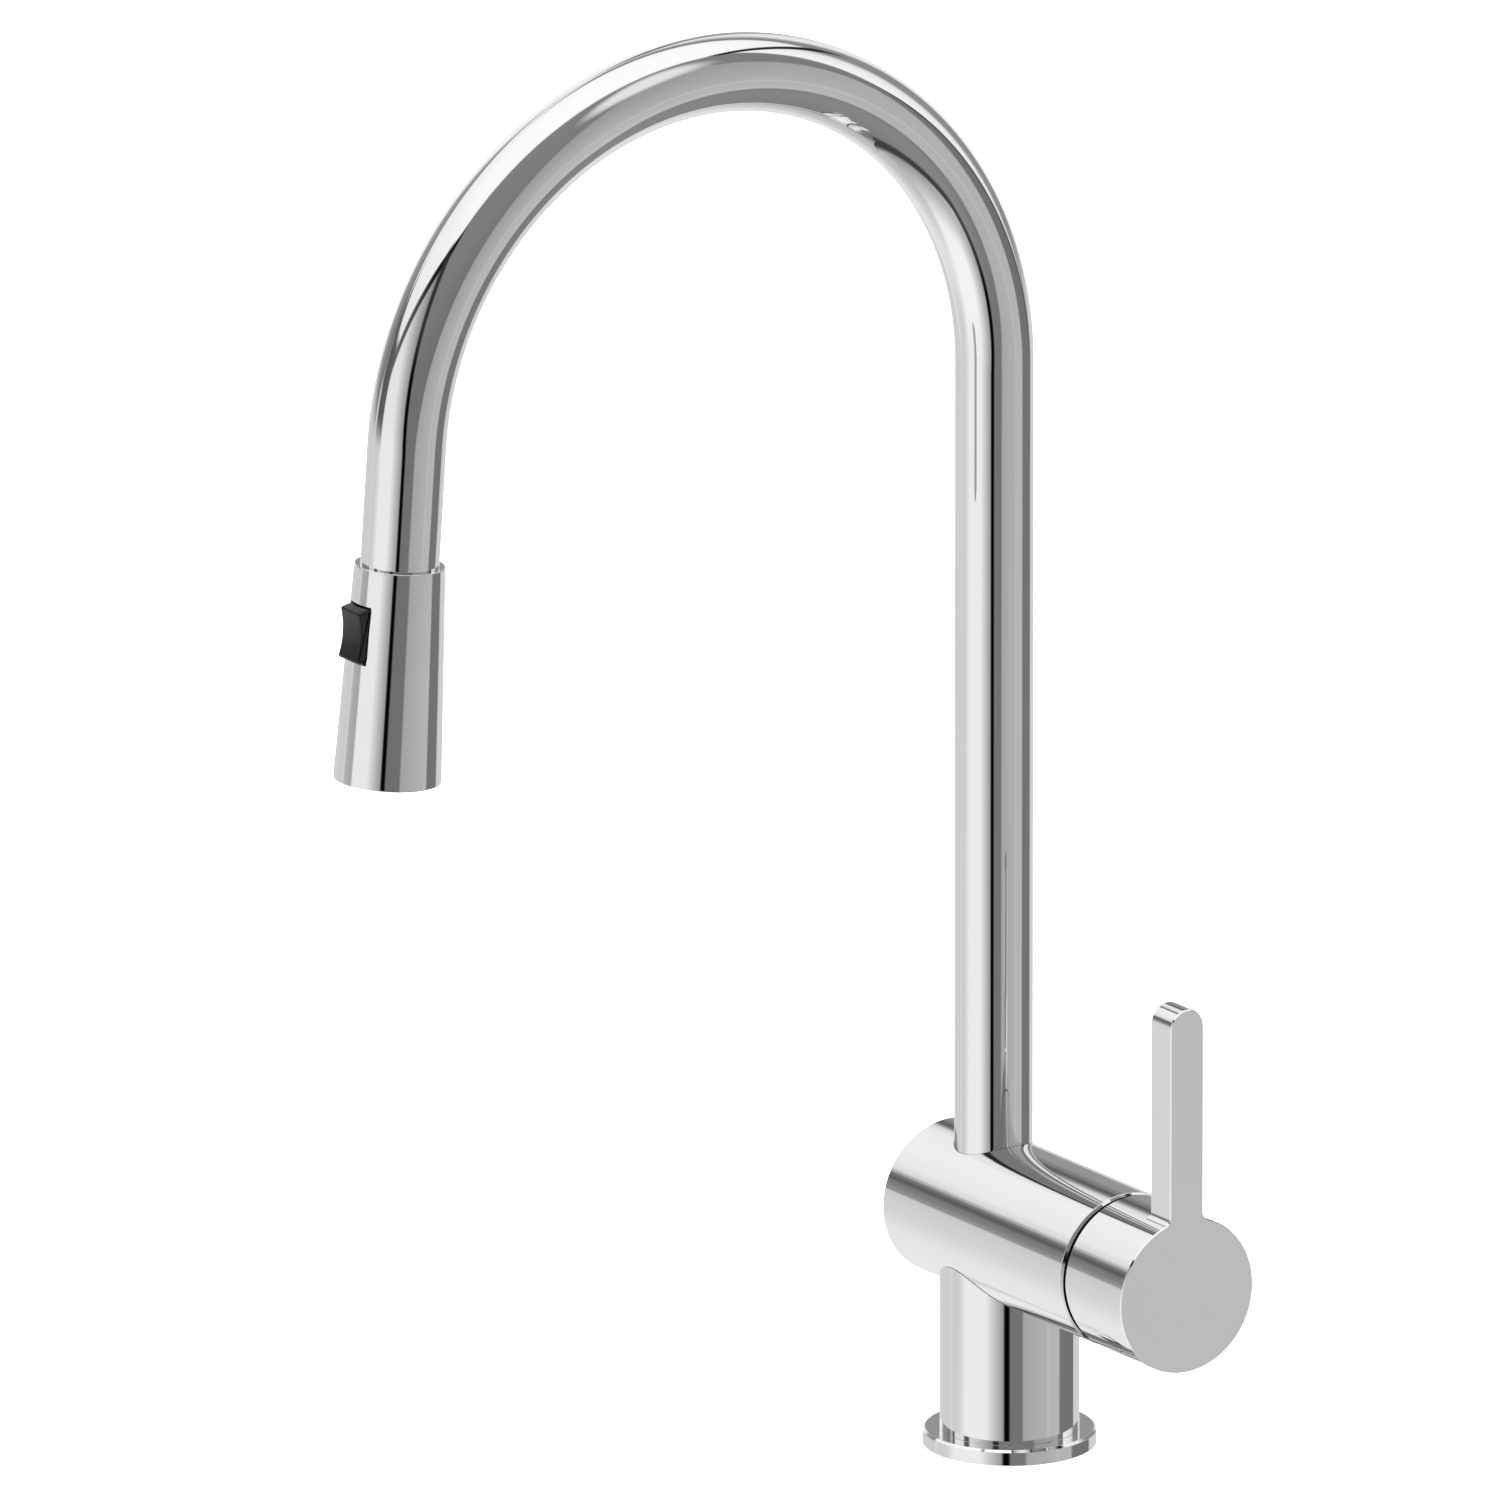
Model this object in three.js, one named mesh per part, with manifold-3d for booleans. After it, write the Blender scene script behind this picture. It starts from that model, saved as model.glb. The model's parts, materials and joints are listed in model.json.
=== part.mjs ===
// A single-lever kitchen faucet with a high arched spout and a pull-down spray head.
// Millimetres, +Z up. The origin is the centre of the deck hole, on the deck's surface.
// The spout reaches towards -Y and the lever is on the +X side.
import * as THREE from 'three';
import { mergeVertices } from 'three/addons/utils/BufferGeometryUtils.js';
import Module from 'manifold-3d';

const wasm = await Module();
wasm.setup();

// ---- driving dimensions ----

const GAP = 0.3; // clearance between pieces that touch
const ROUND = 24; // sides of the large round pieces
const SMALL = 12; // sides of the small round pieces
const QUARTER = Math.PI / 2;

const DECK_THICKNESS = 30; // worktop that the shank clamps
const FLANGE = { radius: 27.75, height: 5.1, chamfer: 0.6 };
const SHANK = { radius: 17, bore: 15.5, low: -60, high: 13.6 };
const COLUMN = { radius: 22.25, bore: 19.75 };

const BARREL_Z = 73.3; // height of the barrel's axis
const BARREL = { radius: 25.3, bore: 22.8, rear: -34.8, front: 67.1, edge: 2, wall: 2.5 };

const SPOUT_X = -9.3; // the spout's swivel axis
const SPOUT = { radius: 12.5, bore: 11.3, foot: 68 };
const ARC = { radius: 111.5, base: 354.6, sweep: THREE.MathUtils.degToRad(176), steps: 22 };
const TIP_DROP = 38.3; // straight length between the arc and the top of the spray head

const HOSE = { radius: 5.5, bore: 3.6, low: -97.5, end: 4 };
const INLET = { x: 8.5, y: 7.6, radius: 3.8 };
const OUTLET = { x: 1.6, radius: 3.3 };
const MANIFOLD_TOP = 57;

const HEAD = { length: 70, top: 14.45, bottom: 17.15, wall: 1.4, hole: 10.5 };
const TAPER = Math.atan((HEAD.bottom - HEAD.top) / HEAD.length);
const BUTTON = { drop: 21.3, width: 10.9, base: 18.3, crown: 15.8, rise: 3.05, dish: 1.3 };
const ROCKER_Y = -10.6; // the rocker's pivot, in the head's frame
const ROCKER_REST = THREE.MathUtils.degToRad(2.7); // rest tilt, with the lower end pressed in
const FACE = { outer: 12.4, outerCount: 12, inner: 9.2, innerCount: 6, aerator: 6.3 };

const PIVOT_X = 50; // the lever's tilt pin
const CAP = { rim: 68.5, front: 100.4, bore: 22.6, relief: THREE.MathUtils.degToRad(4.5) };
const LEVER = { width: 12.6, thickness: 11, top: 94.4, fillet: 3 };
const STEM = { radius: 3.9, inner: 33.2, outer: 88.5 };
const SCREW_X = 82;

// ---- materials ----

const finish = (color, roughness, metalness) =>
  new THREE.MeshStandardMaterial({ color, roughness, metalness });

const chrome = () => finish(0xd9dcde, 0.06, 1);
const brass = () => finish(0xb99a56, 0.35, 1);
const steel = () => finish(0xa9adb0, 0.3, 1);
const rubber = () => finish(0x1b1b1c, 0.85, 0);
const blackPlastic = () => finish(0x202123, 0.45, 0);
const greyPlastic = () => finish(0x6d7073, 0.5, 0);
const whitePlastic = () => finish(0xdedede, 0.5, 0);
const ceramic = () => finish(0xf1efea, 0.25, 0);
const braid = () => finish(0x8d9093, 0.5, 0.3);

// ---- shape helpers ----

function signedVolume(points, index) {
  const [a, b, c] = [new THREE.Vector3(), new THREE.Vector3(), new THREE.Vector3()];
  let sum = 0;
  for (let i = 0; i < index.length; i += 3) {
    a.fromArray(points, index[i] * 3);
    b.fromArray(points, index[i + 1] * 3);
    c.fromArray(points, index[i + 2] * 3);
    sum += a.dot(b.cross(c)) / 6;
  }
  return sum;
}

// Welds a closed geometry into a solid whose faces point out.
function solid(shape) {
  if (shape instanceof wasm.Manifold) return shape;
  const bare = shape.clone();
  bare.deleteAttribute('normal');
  bare.deleteAttribute('uv');
  const welded = mergeVertices(bare);
  const points = welded.attributes.position.array;
  const triangles = [];
  for (let i = 0; i < welded.index.count; i += 3) {
    const [a, b, c] = welded.index.array.slice(i, i + 3);
    if (a !== b && b !== c && c !== a) triangles.push(a, b, c);
  }
  if (signedVolume(points, triangles) < 0) triangles.reverse();
  return new wasm.Manifold(new wasm.Mesh({
    numProp: 3,
    vertProperties: new Float32Array(points),
    triVerts: new Uint32Array(triangles),
  }));
}

const join = (first, ...others) => others.reduce((sum, next) => sum.add(solid(next)), solid(first));
const cut = (first, ...tools) => tools.reduce((rest, tool) => rest.subtract(solid(tool)), solid(first));

// Turns a profile of [radius, height] points about Z.
function turned(profile, sides = ROUND) {
  const points = profile.map(([radius, height]) => new THREE.Vector2(radius, height));
  return new THREE.LatheGeometry(points, sides).rotateX(QUARTER);
}

const rod = (radius, low, high, sides = SMALL) =>
  turned([[0, low], [radius, low], [radius, high], [0, high]], sides);

const ring = (inner, outer, low, high, sides = ROUND) =>
  turned([[inner, low], [outer, low], [outer, high], [inner, high], [inner, low]], sides);

// A box between two corners.
function block(low, high) {
  const size = high.map((value, axis) => value - low[axis]);
  const centre = high.map((value, axis) => (value + low[axis]) / 2);
  return new THREE.BoxGeometry(...size).translate(...centre);
}

// A soft ring of six-sided section.
function sealRing(inner, outer, middle, height) {
  const centre = (inner + outer) / 2;
  return turned([
    [inner, middle], [centre, middle - height / 2], [outer, middle],
    [centre, middle + height / 2], [inner, middle],
  ]);
}

function addPart(group, name, material, shape) {
  const { vertProperties, triVerts } = solid(shape).getMesh();
  const geometry = new THREE.BufferGeometry();
  geometry.setAttribute('position', new THREE.BufferAttribute(vertProperties, 3));
  geometry.setIndex(new THREE.BufferAttribute(triVerts, 1));
  geometry.computeVertexNormals();
  const mesh = new THREE.Mesh(geometry, material);
  mesh.name = name;
  group.add(mesh);
  return mesh;
}

// Up from the foot, round the arch and straight down to the spray head.
// Each straight is one step and the arch is the rest.
class GooseneckPath extends THREE.Curve {
  constructor(low, endAboveHead) {
    super();
    this.low = low;
    this.tail = TIP_DROP - endAboveHead;
    this.steps = ARC.steps + 2;
  }

  getUtoTmapping(u) {
    return u;
  }

  getPoint(t, target = new THREE.Vector3()) {
    const step = t * this.steps;
    if (step < 1) {
      return target.set(0, 0, THREE.MathUtils.lerp(this.low, ARC.base, step));
    }
    const turn = ARC.sweep * Math.min((step - 1) / ARC.steps, 1);
    const along = this.tail * Math.max(step - 1 - ARC.steps, 0);
    const y = ARC.radius * (Math.cos(turn) - 1) - Math.sin(turn) * along;
    const z = ARC.base + ARC.radius * Math.sin(turn) + Math.cos(turn) * along;
    return target.set(0, y, z);
  }
}

// A hollow tube of round section along the gooseneck.
function gooseneck(path, radius, bore, sides) {
  const section = new THREE.Shape().absarc(0, 0, radius, 0, 2 * Math.PI);
  section.holes.push(new THREE.Path().absarc(0, 0, bore, 0, 2 * Math.PI));
  return new THREE.ExtrudeGeometry(section, {
    steps: path.steps,
    curveSegments: sides / 2,
    extrudePath: path,
  });
}

// ---- base, column and deck fixing ----

function baseFlange() {
  const { radius, height, chamfer } = FLANGE;
  const bore = SHANK.radius + 0.4;
  return turned([
    [bore, 0], [22, 0], [22, 1.6], [24.6, 1.6], [24.6, 0], [radius, 0],
    [radius, height - chamfer], [radius - chamfer, height], [bore, height], [bore, 0],
  ], 32);
}

function baseColumn() {
  const tube = ring(COLUMN.bore, COLUMN.radius, FLANGE.height + GAP, 62, 32);
  const saddle = rod(BARREL.radius + 0.4, -60, 60, 32).rotateY(QUARTER).translate(0, 0, BARREL_Z);
  return cut(tube, saddle);
}

function mountingNut() {
  const screwHoles = [-1, 1].map((side) => rod(2, -50, -30, 12).translate(0, side * 20.4, 0));
  const hexagon = rod(25.5, -47, -35.6, 6);
  return cut(hexagon, rod(SHANK.radius + 0.4, -50, -30, ROUND), ...screwHoles);
}

function columnManifold() {
  const outer = join(rod(19.3, 14, 44.5, ROUND), rod(18.5, 44, MANIFOLD_TOP, ROUND));
  const inlets = [-1, 1].flatMap((side) => [
    rod(INLET.radius + GAP, 13, 40).translate(INLET.x, side * INLET.y, 0),
    rod(2, 39, 58, 16).translate(INLET.x, side * INLET.y, 0),
  ]);
  const outlet = [
    rod(OUTLET.radius + GAP, 13, 40).translate(OUTLET.x, 0, 0),
    rod(1.5, 39, 58, 16).translate(OUTLET.x, 0, 0),
  ];
  const hosePassage = rod(6.3, 13, 58, 24).translate(SPOUT_X, 0, 0);
  return cut(outer, hosePassage, ...inlets, ...outlet);
}

// A water tail with a wider union at its lower end.
function waterTail(radius, bore, low) {
  return turned([
    [bore, low], [4.9, low], [4.9, low + 12], [radius, low + 13],
    [radius, 39.5], [bore, 39.5], [bore, low],
  ], SMALL);
}

function addBase(faucet) {
  const washerBore = SHANK.radius + 0.6;
  addPart(faucet, 'base_flange', chrome(), baseFlange());
  addPart(faucet, 'base_gasket', rubber(), ring(22.3, 24.3, 0, 1.3, 24));
  addPart(faucet, 'base_column', chrome(), baseColumn());
  addPart(faucet, 'column_manifold', brass(), columnManifold());
  addPart(faucet, 'mounting_shank', brass(),
    ring(SHANK.bore, SHANK.radius, SHANK.low, SHANK.high));
  addPart(faucet, 'deck_rubber_washer', rubber(),
    ring(washerBore, 26, -DECK_THICKNESS - 3, -DECK_THICKNESS, 24));
  addPart(faucet, 'deck_steel_washer', steel(),
    ring(washerBore, 26, -DECK_THICKNESS - 5.3, -DECK_THICKNESS - 3.3, 24));
  addPart(faucet, 'mounting_nut', brass(), mountingNut());
  for (const [name, side] of [['clamp_screw_front', -1], ['clamp_screw_rear', 1]]) {
    const screw = join(rod(1.7, -53, -35.8, 12), rod(2.9, -56, -52, 6));
    addPart(faucet, name, steel(), screw).position.set(0, side * 20.4, 0);
  }
  for (const [name, side] of [['cold_inlet_tail', -1], ['hot_inlet_tail', 1]]) {
    addPart(faucet, name, brass(), waterTail(INLET.radius, 2.2, -80))
      .position.set(INLET.x, side * INLET.y, 0);
  }
  addPart(faucet, 'outlet_tail', brass(), waterTail(OUTLET.radius, 1.9, -80))
    .position.set(OUTLET.x, 0, 0);
}

// ---- barrel, cartridge and lever ----
// These are made in the barrel's frame: its z is the faucet's +X and its x is straight down.

function barrelShell() {
  const { radius, bore, rear, front, edge, wall } = BARREL;
  const shell = turned([
    [0, rear], [radius - 0.5, rear], [radius, rear + 0.5], [radius, front - edge],
    [radius - 0.3 * edge, front - 0.3 * edge], [radius - edge, front],
    [bore, front], [bore, rear + wall], [0, rear + wall],
  ], 32);
  const spoutBore = rod(SPOUT.radius + 0.4, -30, -2, 24).rotateY(QUARTER).translate(0, 0, SPOUT_X);
  const columnBore = rod(19, 2, 30, 24).rotateY(QUARTER);
  return cut(shell, spoutBore, columnBore);
}

const PORT_DROP = 9; // the inlet ports, below the barrel's axis
const OUTLET_DROP = 13.8;

// Three ports parallel to the barrel, which the seat, base and fixed disc share.
function valvePorts(low, high) {
  return [
    rod(1.9, low, high, 14).translate(PORT_DROP, -INLET.y, 0),
    rod(1.9, low, high, 14).translate(PORT_DROP, INLET.y, 0),
    rod(1.5, low, high, 14).translate(OUTLET_DROP, 0, 0),
  ];
}

function cartridgeSeat() {
  const floor = BARREL_Z - MANIFOLD_TOP - GAP;
  const neckRoom = rod(18.8, floor, 40, ROUND).rotateY(QUARTER);
  const drum = cut(rod(22.3, 5.9, 36, ROUND), neckRoom);
  const tongue = block([floor - 4.4, -6, -1], [floor, 6, 7]);
  const inletRisers = [-1, 1].map((side) =>
    rod(1.9, PORT_DROP, floor + 1, 14).rotateY(QUARTER).translate(0, side * INLET.y, INLET.x));
  const outletRiser = rod(1.5, OUTLET_DROP, floor + 1, 14).rotateY(QUARTER)
    .translate(0, 0, OUTLET.x);
  const [leftPort, rightPort, outletPort] = valvePorts(INLET.x, 23);
  const outletRun = rod(1.5, OUTLET.x, 23, 14).translate(OUTLET_DROP, 0, 0);
  return cut(join(drum, tongue), rod(17.8, 22, 37, ROUND), leftPort, rightPort, outletPort,
    outletRun, ...inletRisers, outletRiser);
}

function cartridgeHousing() {
  return turned([[16.1, 26.6], [17.4, 26.6], [17.4, 41], [12.9, 41], [12.9, 38.5],
    [16.1, 38.5], [16.1, 26.6]]);
}

function cartridgeRotor() {
  const body = turned([[0, 35.8], [15.7, 35.8], [15.7, 38.2], [12.5, 38.2], [12.5, 54], [0, 54]]);
  const stemSlot = block([-7.2, -4.4, 35], [5.4, 4.4, 55]);
  const pinHole = rod(1.75, -14, 14, 14).rotateX(QUARTER).translate(0, 0, PIVOT_X);
  return cut(body, stemSlot, pinHole);
}

function cartridgeStem() {
  const bar = turned([[0, STEM.inner], [2.9, STEM.inner], [STEM.radius, STEM.inner + 1],
    [STEM.radius, STEM.outer], [0, STEM.outer]], 24);
  return cut(bar, rod(1.75, -6, 6, 14).rotateX(QUARTER).translate(0, 0, PIVOT_X));
}

function movingDisc() {
  return turned([[0, 29.7], [9.3, 29.7], [9.3, 35.2], [4.7, 35.2], [4.7, 32], [0, 32]], 24);
}

function retainingNut() {
  return turned([[13.4, 41.4], [22.4, 41.4], [22.4, 47], [18, 47], [18, 52.5],
    [13.4, 52.5], [13.4, 41.4]]);
}

function coverRing() {
  return turned([[21, 55], [22.4, 55], [22.4, 65.6], [19.6, 67.9], [13.6, 67.9],
    [13.6, 66.6], [19.2, 66.6], [21, 64.8], [21, 55]]);
}

// The paddle's outline, with a fillet on each side where it runs into the cap's round face.
function leverOutline() {
  const half = LEVER.width / 2;
  const { fillet } = LEVER;
  const reach = BARREL.radius + fillet;
  const filletX = half + fillet;
  const filletY = Math.sqrt(reach ** 2 - filletX ** 2);
  const onCap = Math.atan2(filletY, filletX);
  const foot = 15;
  const outline = new THREE.Shape();
  outline.moveTo(-filletX * 0.8, foot);
  outline.lineTo(filletX * 0.8, foot);
  outline.absarc(filletX, filletY, fillet, onCap + Math.PI, Math.PI, true);
  outline.absarc(0, LEVER.top - half, half, 0, Math.PI, false);
  outline.absarc(-filletX, filletY, fillet, 0, -onCap, true);
  outline.closePath();
  return outline;
}

function handle() {
  const { rim, front, bore, relief } = CAP;
  const edge = 0.4;
  const cup = turned([
    [0, front], [BARREL.radius - edge, front], [BARREL.radius, front - edge],
    [BARREL.radius, rim], [bore, rim], [bore, 88], [7.5, 88], [7.5, 76],
    [STEM.radius + GAP, 76], [STEM.radius + GAP, 90], [0, 90],
  ], 32);
  const paddle = new THREE.ExtrudeGeometry(leverOutline(), {
    depth: LEVER.thickness,
    curveSegments: 10,
    bevelEnabled: false,
  }).rotateZ(QUARTER).translate(0, 0, front - LEVER.thickness);
  const wedge = block([0, -40, -12], [40, 40, 0]).rotateY(-relief).translate(0, 0, rim);
  const screwHole = rod(2.15, 3, 30, 14).rotateY(QUARTER).translate(0, 0, SCREW_X);
  return cut(join(cup, paddle), wedge, screwHole);
}

function addBarrel(faucet) {
  const line = new THREE.Group();
  line.position.set(0, 0, BARREL_Z);
  line.rotation.y = QUARTER;
  faucet.add(line);
  addPart(line, 'barrel_shell', chrome(), barrelShell());
  addPart(line, 'cartridge_seat', brass(), cartridgeSeat());
  addPart(line, 'cartridge_base', blackPlastic(), cut(rod(17.4, 22.3, 26.3, 32), ...valvePorts(22, 27)));
  addPart(line, 'fixed_disc', ceramic(), cut(rod(15.7, 26.6, 29.4, 32), ...valvePorts(26, 30)));
  addPart(line, 'moving_disc', ceramic(), movingDisc());
  addPart(line, 'cartridge_housing', whitePlastic(), cartridgeHousing());
  addPart(line, 'cartridge_rotor', greyPlastic(), cartridgeRotor());
  addPart(line, 'stem_pin', steel(), rod(1.45, -11.6, 11.6, 12).rotateX(QUARTER))
    .position.set(0, 0, PIVOT_X);
  addPart(line, 'cartridge_stem', steel(), cartridgeStem());
  addPart(line, 'retaining_nut', brass(), retainingNut());
  addPart(line, 'cover_ring', blackPlastic(), coverRing());
  addPart(line, 'handle', chrome(), handle());
  addPart(line, 'handle_set_screw', steel(), rod(1.85, 4.3, 12, 12).rotateY(QUARTER))
    .position.set(0, 0, SCREW_X);
  addPart(line, 'handle_plug', greyPlastic(), rod(1.85, 22.8, 25, 12).rotateY(QUARTER))
    .position.set(0, 0, SCREW_X);
}

// ---- spout and hose ----

function spoutSocket() {
  const bore = SPOUT.radius + GAP;
  const grooves = [75, 83].flatMap((middle) => [
    [bore, middle - 1.4], [14.1, middle - 1.4], [14.1, middle + 1.4], [bore, middle + 1.4],
  ]);
  return turned([
    [6.3, MANIFOLD_TOP + GAP], [8, MANIFOLD_TOP + GAP], [8, 62], [14.9, 62], [14.9, 89.5],
    [bore, 89.5], ...grooves.reverse(), [bore, 66], [6.3, 66], [6.3, MANIFOLD_TOP + GAP],
  ]);
}

function hoseCoupling() {
  const { radius, low } = HOSE;
  return turned([[3.5, low - 14], [6, low - 14], [6, low - 4], [7.4, low - 3], [7.4, low + 14],
    [radius + GAP, low + 14], [radius + GAP, low - GAP], [3.5, low - GAP], [3.5, low - 14]], 24);
}

function addSpout(faucet) {
  const spout = new THREE.Group();
  spout.position.set(SPOUT_X, 0, 0);
  faucet.add(spout);
  addPart(spout, 'spout_socket', brass(), spoutSocket());
  addPart(spout, 'spout_glide_ring', whitePlastic(), ring(8.6, 12.4, 66.3, 67.7, 24));
  addPart(spout, 'spout_seal_lower', rubber(), sealRing(12.75, 13.9, 75, 1.9));
  addPart(spout, 'spout_seal_upper', rubber(), sealRing(12.75, 13.9, 83, 1.9));
  addPart(spout, 'spout_tube', chrome(),
    gooseneck(new GooseneckPath(SPOUT.foot, 0.35), SPOUT.radius, SPOUT.bore, 18));
  addPart(spout, 'pull_hose', braid(),
    gooseneck(new GooseneckPath(HOSE.low, HOSE.end), HOSE.radius, HOSE.bore, 8));
  addPart(spout, 'hose_coupling', brass(), hoseCoupling());
  addHead(spout);
}

// ---- spray head ----
// In the head's frame the top of the head is z = 0 and its axis runs down -z.

const headRadius = (z) => HEAD.top - z * Math.tan(TAPER);
const rockerZ = -BUTTON.drop;
const surfaceOut = (headRadius(rockerZ) + ROCKER_Y) * Math.cos(TAPER);

function headShell() {
  const { length, wall, hole } = HEAD;
  const edge = 0.35;
  const shell = turned([
    [hole, 0], [headRadius(0) - edge, 0], [headRadius(-edge), -edge],
    [headRadius(-length), edge - length], [headRadius(-length) - edge, -length],
    [headRadius(-length) - wall, -length], [headRadius(-wall) - wall, -wall],
    [hole, -wall], [hole, 0],
  ], 32);
  const side = BUTTON.width / 2 + 0.45;
  const end = BUTTON.base / 2 + 0.45;
  const window = block([-side, -12, -end], [side, 0.6, end])
    .rotateX(-TAPER).translate(0, ROCKER_Y, rockerZ);
  return cut(shell, window);
}

function headCore() {
  const body = turned([[0, -58], [13.6, -58], [13.6, -33], [12.6, -33], [12.6, -10],
    [5.5, -10], [5.5, -5], [0, -5]]);
  const pocket = block([-5.75, -14, rockerZ - 9.9], [5.75, -8.3, rockerZ + 9.9]);
  const pegSlot = block([-1.2, -8.5, rockerZ - 2.6], [1.2, -4.6, rockerZ + 2.6]);
  const pinHole = rod(1.1, -9, 9, 12).rotateY(QUARTER).translate(0, ROCKER_Y, rockerZ);
  const inletBore = rod(3, -12.5, -4, 18);
  const waterway = rod(2.6, -59, -11, 16).translate(0, 3, 0);
  const spoolBore = rod(2.6, -40, -13.2, 18).translate(0, -4.6, 0);
  return cut(body, pocket, pegSlot, pinHole, inletBore, waterway, spoolBore);
}

function checkValve() {
  return turned([[0, -11.5], [1.2, -11.5], [1.2, -9], [2.6, -8], [2.6, -6.8], [0, -6.8]], 16);
}

function diverterSpool() {
  return turned([[0, -37], [2.25, -37], [2.25, rockerZ - 1.3], [1.3, rockerZ - 1.3],
    [1.3, rockerZ + 1.3], [2.25, rockerZ + 1.3], [2.25, -14.2], [0, -14.2]], 18);
}

// The rocker's side view: x is the distance out from its pivot and y is along the head.
function rockerOutline() {
  const base = BUTTON.base / 2;
  const crown = BUTTON.crown / 2;
  const top = surfaceOut + BUTTON.rise;
  const dishRadius = (crown ** 2 + BUTTON.dish ** 2) / (2 * BUTTON.dish);
  const reach = Math.asin(crown / dishRadius);
  const outline = new THREE.Shape();
  outline.moveTo(-1.9, -2.6);
  outline.lineTo(2.4, -2.6);
  outline.lineTo(2.6, -base);
  outline.lineTo(surfaceOut, -base);
  outline.absarc(top - BUTTON.dish + dishRadius, 0, dishRadius, Math.PI + reach, Math.PI - reach, true);
  outline.lineTo(surfaceOut, base);
  outline.lineTo(2.6, base);
  outline.lineTo(2.4, 2.6);
  outline.lineTo(-1.9, 2.6);
  outline.closePath();
  outline.holes.push(new THREE.Path().absarc(0, 0, 1.1, 0, 2 * Math.PI));
  return outline;
}

function rockerButton() {
  const { width } = BUTTON;
  const across = new THREE.Matrix4().makeBasis(
    new THREE.Vector3(0, -1, 0), new THREE.Vector3(0, 0, 1), new THREE.Vector3(-1, 0, 0));
  const body = new THREE.ExtrudeGeometry(rockerOutline(), {
    depth: width,
    curveSegments: 6,
    bevelEnabled: false,
  }).applyMatrix4(across).translate(width / 2, 0, 0);
  const peg = block([-0.8, 1.7, -0.8], [0.8, 4, 0.8]);
  return join(body, peg);
}

// Calls make(x, y) at each nozzle's place in the spray face.
function atNozzles(make) {
  const rings = [[FACE.outer, FACE.outerCount], [FACE.inner, FACE.innerCount]];
  return rings.flatMap(([radius, count]) => Array.from({ length: count }, (_, i) => {
    const turn = (i / count) * 2 * Math.PI;
    return make(radius * Math.cos(turn), radius * Math.sin(turn));
  }));
}

function sprayPlate() {
  const holes = atNozzles((x, y) => rod(1.15, -69, -63, 6).translate(x, y, 0));
  return cut(ring(FACE.aerator + GAP, 15.2, -67.9, -63.9, 24), ...holes);
}

function nozzleMat() {
  const nozzles = atNozzles((x, y) => rod(0.8, -69.3, -62, 6).translate(x, y, 0));
  return join(ring(FACE.aerator + GAP, 14.9, -63.6, -61.1, 24), ...nozzles);
}

// A disc with a ring of holes through it.
function piercedDisc(radius, low, high, holeRadius, pitch, count) {
  const holes = Array.from({ length: count }, (_, i) => {
    const turn = (i / count) * 2 * Math.PI;
    return rod(holeRadius, low - 1, high + 1, 6)
      .translate(pitch * Math.cos(turn), pitch * Math.sin(turn), 0);
  });
  return cut(rod(radius, low, high, 28), ...holes);
}

function dockingCollar() {
  return turned([[8.4, -3.2], [13, -3.2], [13, -1.7], [10.1, -1.7], [10.1, 12], [8.4, 12],
    [8.4, -3.2]], 24);
}

function hoseFerrule() {
  const inner = HOSE.radius + GAP;
  return turned([[2.6, -2.8], [7, -2.8], [7, 16], [inner, 16], [inner, HOSE.end - GAP],
    [2.6, HOSE.end - GAP], [2.6, -2.8]], 24);
}

function addHead(spout) {
  const head = new THREE.Group();
  const top = new GooseneckPath(0, 0).getPoint(1);
  head.position.copy(top);
  head.rotation.x = ARC.sweep - Math.PI;
  spout.add(head);
  addPart(head, 'docking_sleeve', blackPlastic(), ring(10.5, 11, 0.7, 30, 24));
  addPart(head, 'docking_magnet', steel(), ring(7.8, 10.15, 14.8, 22, 24));
  addPart(head, 'hose_ferrule', steel(), hoseFerrule());
  addPart(head, 'hose_nut', brass(), ring(5.8, 8, -9.7, -3.1, 24));
  addPart(head, 'head_shell', chrome(), headShell());
  addPart(head, 'docking_collar', blackPlastic(), dockingCollar());
  addPart(head, 'strike_ring', steel(), ring(8.4, 10, 12.3, 14, 24));
  addPart(head, 'head_core', greyPlastic(), headCore());
  addPart(head, 'check_valve', whitePlastic(), checkValve());
  addPart(head, 'diverter_spool', whitePlastic(), diverterSpool()).position.set(0, -4.6, 0);
  addPart(head, 'rocker_pin', steel(), rod(0.8, -6.6, 6.6, 10).rotateY(QUARTER))
    .position.set(0, ROCKER_Y, rockerZ);
  const rocker = addPart(head, 'rocker_button', blackPlastic(), rockerButton());
  rocker.position.set(0, ROCKER_Y, rockerZ);
  rocker.rotation.x = ROCKER_REST - TAPER;
  addPart(head, 'flow_diffuser', greyPlastic(), piercedDisc(14.9, -60.8, -58.3, 1.5, 10, 8));
  addPart(head, 'nozzle_mat', rubber(), nozzleMat());
  addPart(head, 'spray_plate', greyPlastic(), sprayPlate());
  addPart(head, 'face_ring', greyPlastic(), ring(13.9, 15.5, -69.7, -68.2, 24));
  addPart(head, 'aerator_housing', greyPlastic(),
    ring(5.3, FACE.aerator, -69.4, -61.1, 24));
  addPart(head, 'aerator_insert', whitePlastic(), piercedDisc(5, -67.6, -62, 0.9, 3.2, 5));
  addPart(head, 'aerator_screen', steel(), piercedDisc(5, -68.9, -68, 0.8, 3, 8));
}

// ---- the assembly ----

const faucet = new THREE.Group();
addBase(faucet);
addBarrel(faucet);
addSpout(faucet);

export default faucet;
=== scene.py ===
"""The looks of the pull-down kitchen faucet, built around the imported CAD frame."""
import json
import math

import bmesh
import bpy
from mathutils import Matrix, Vector

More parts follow.
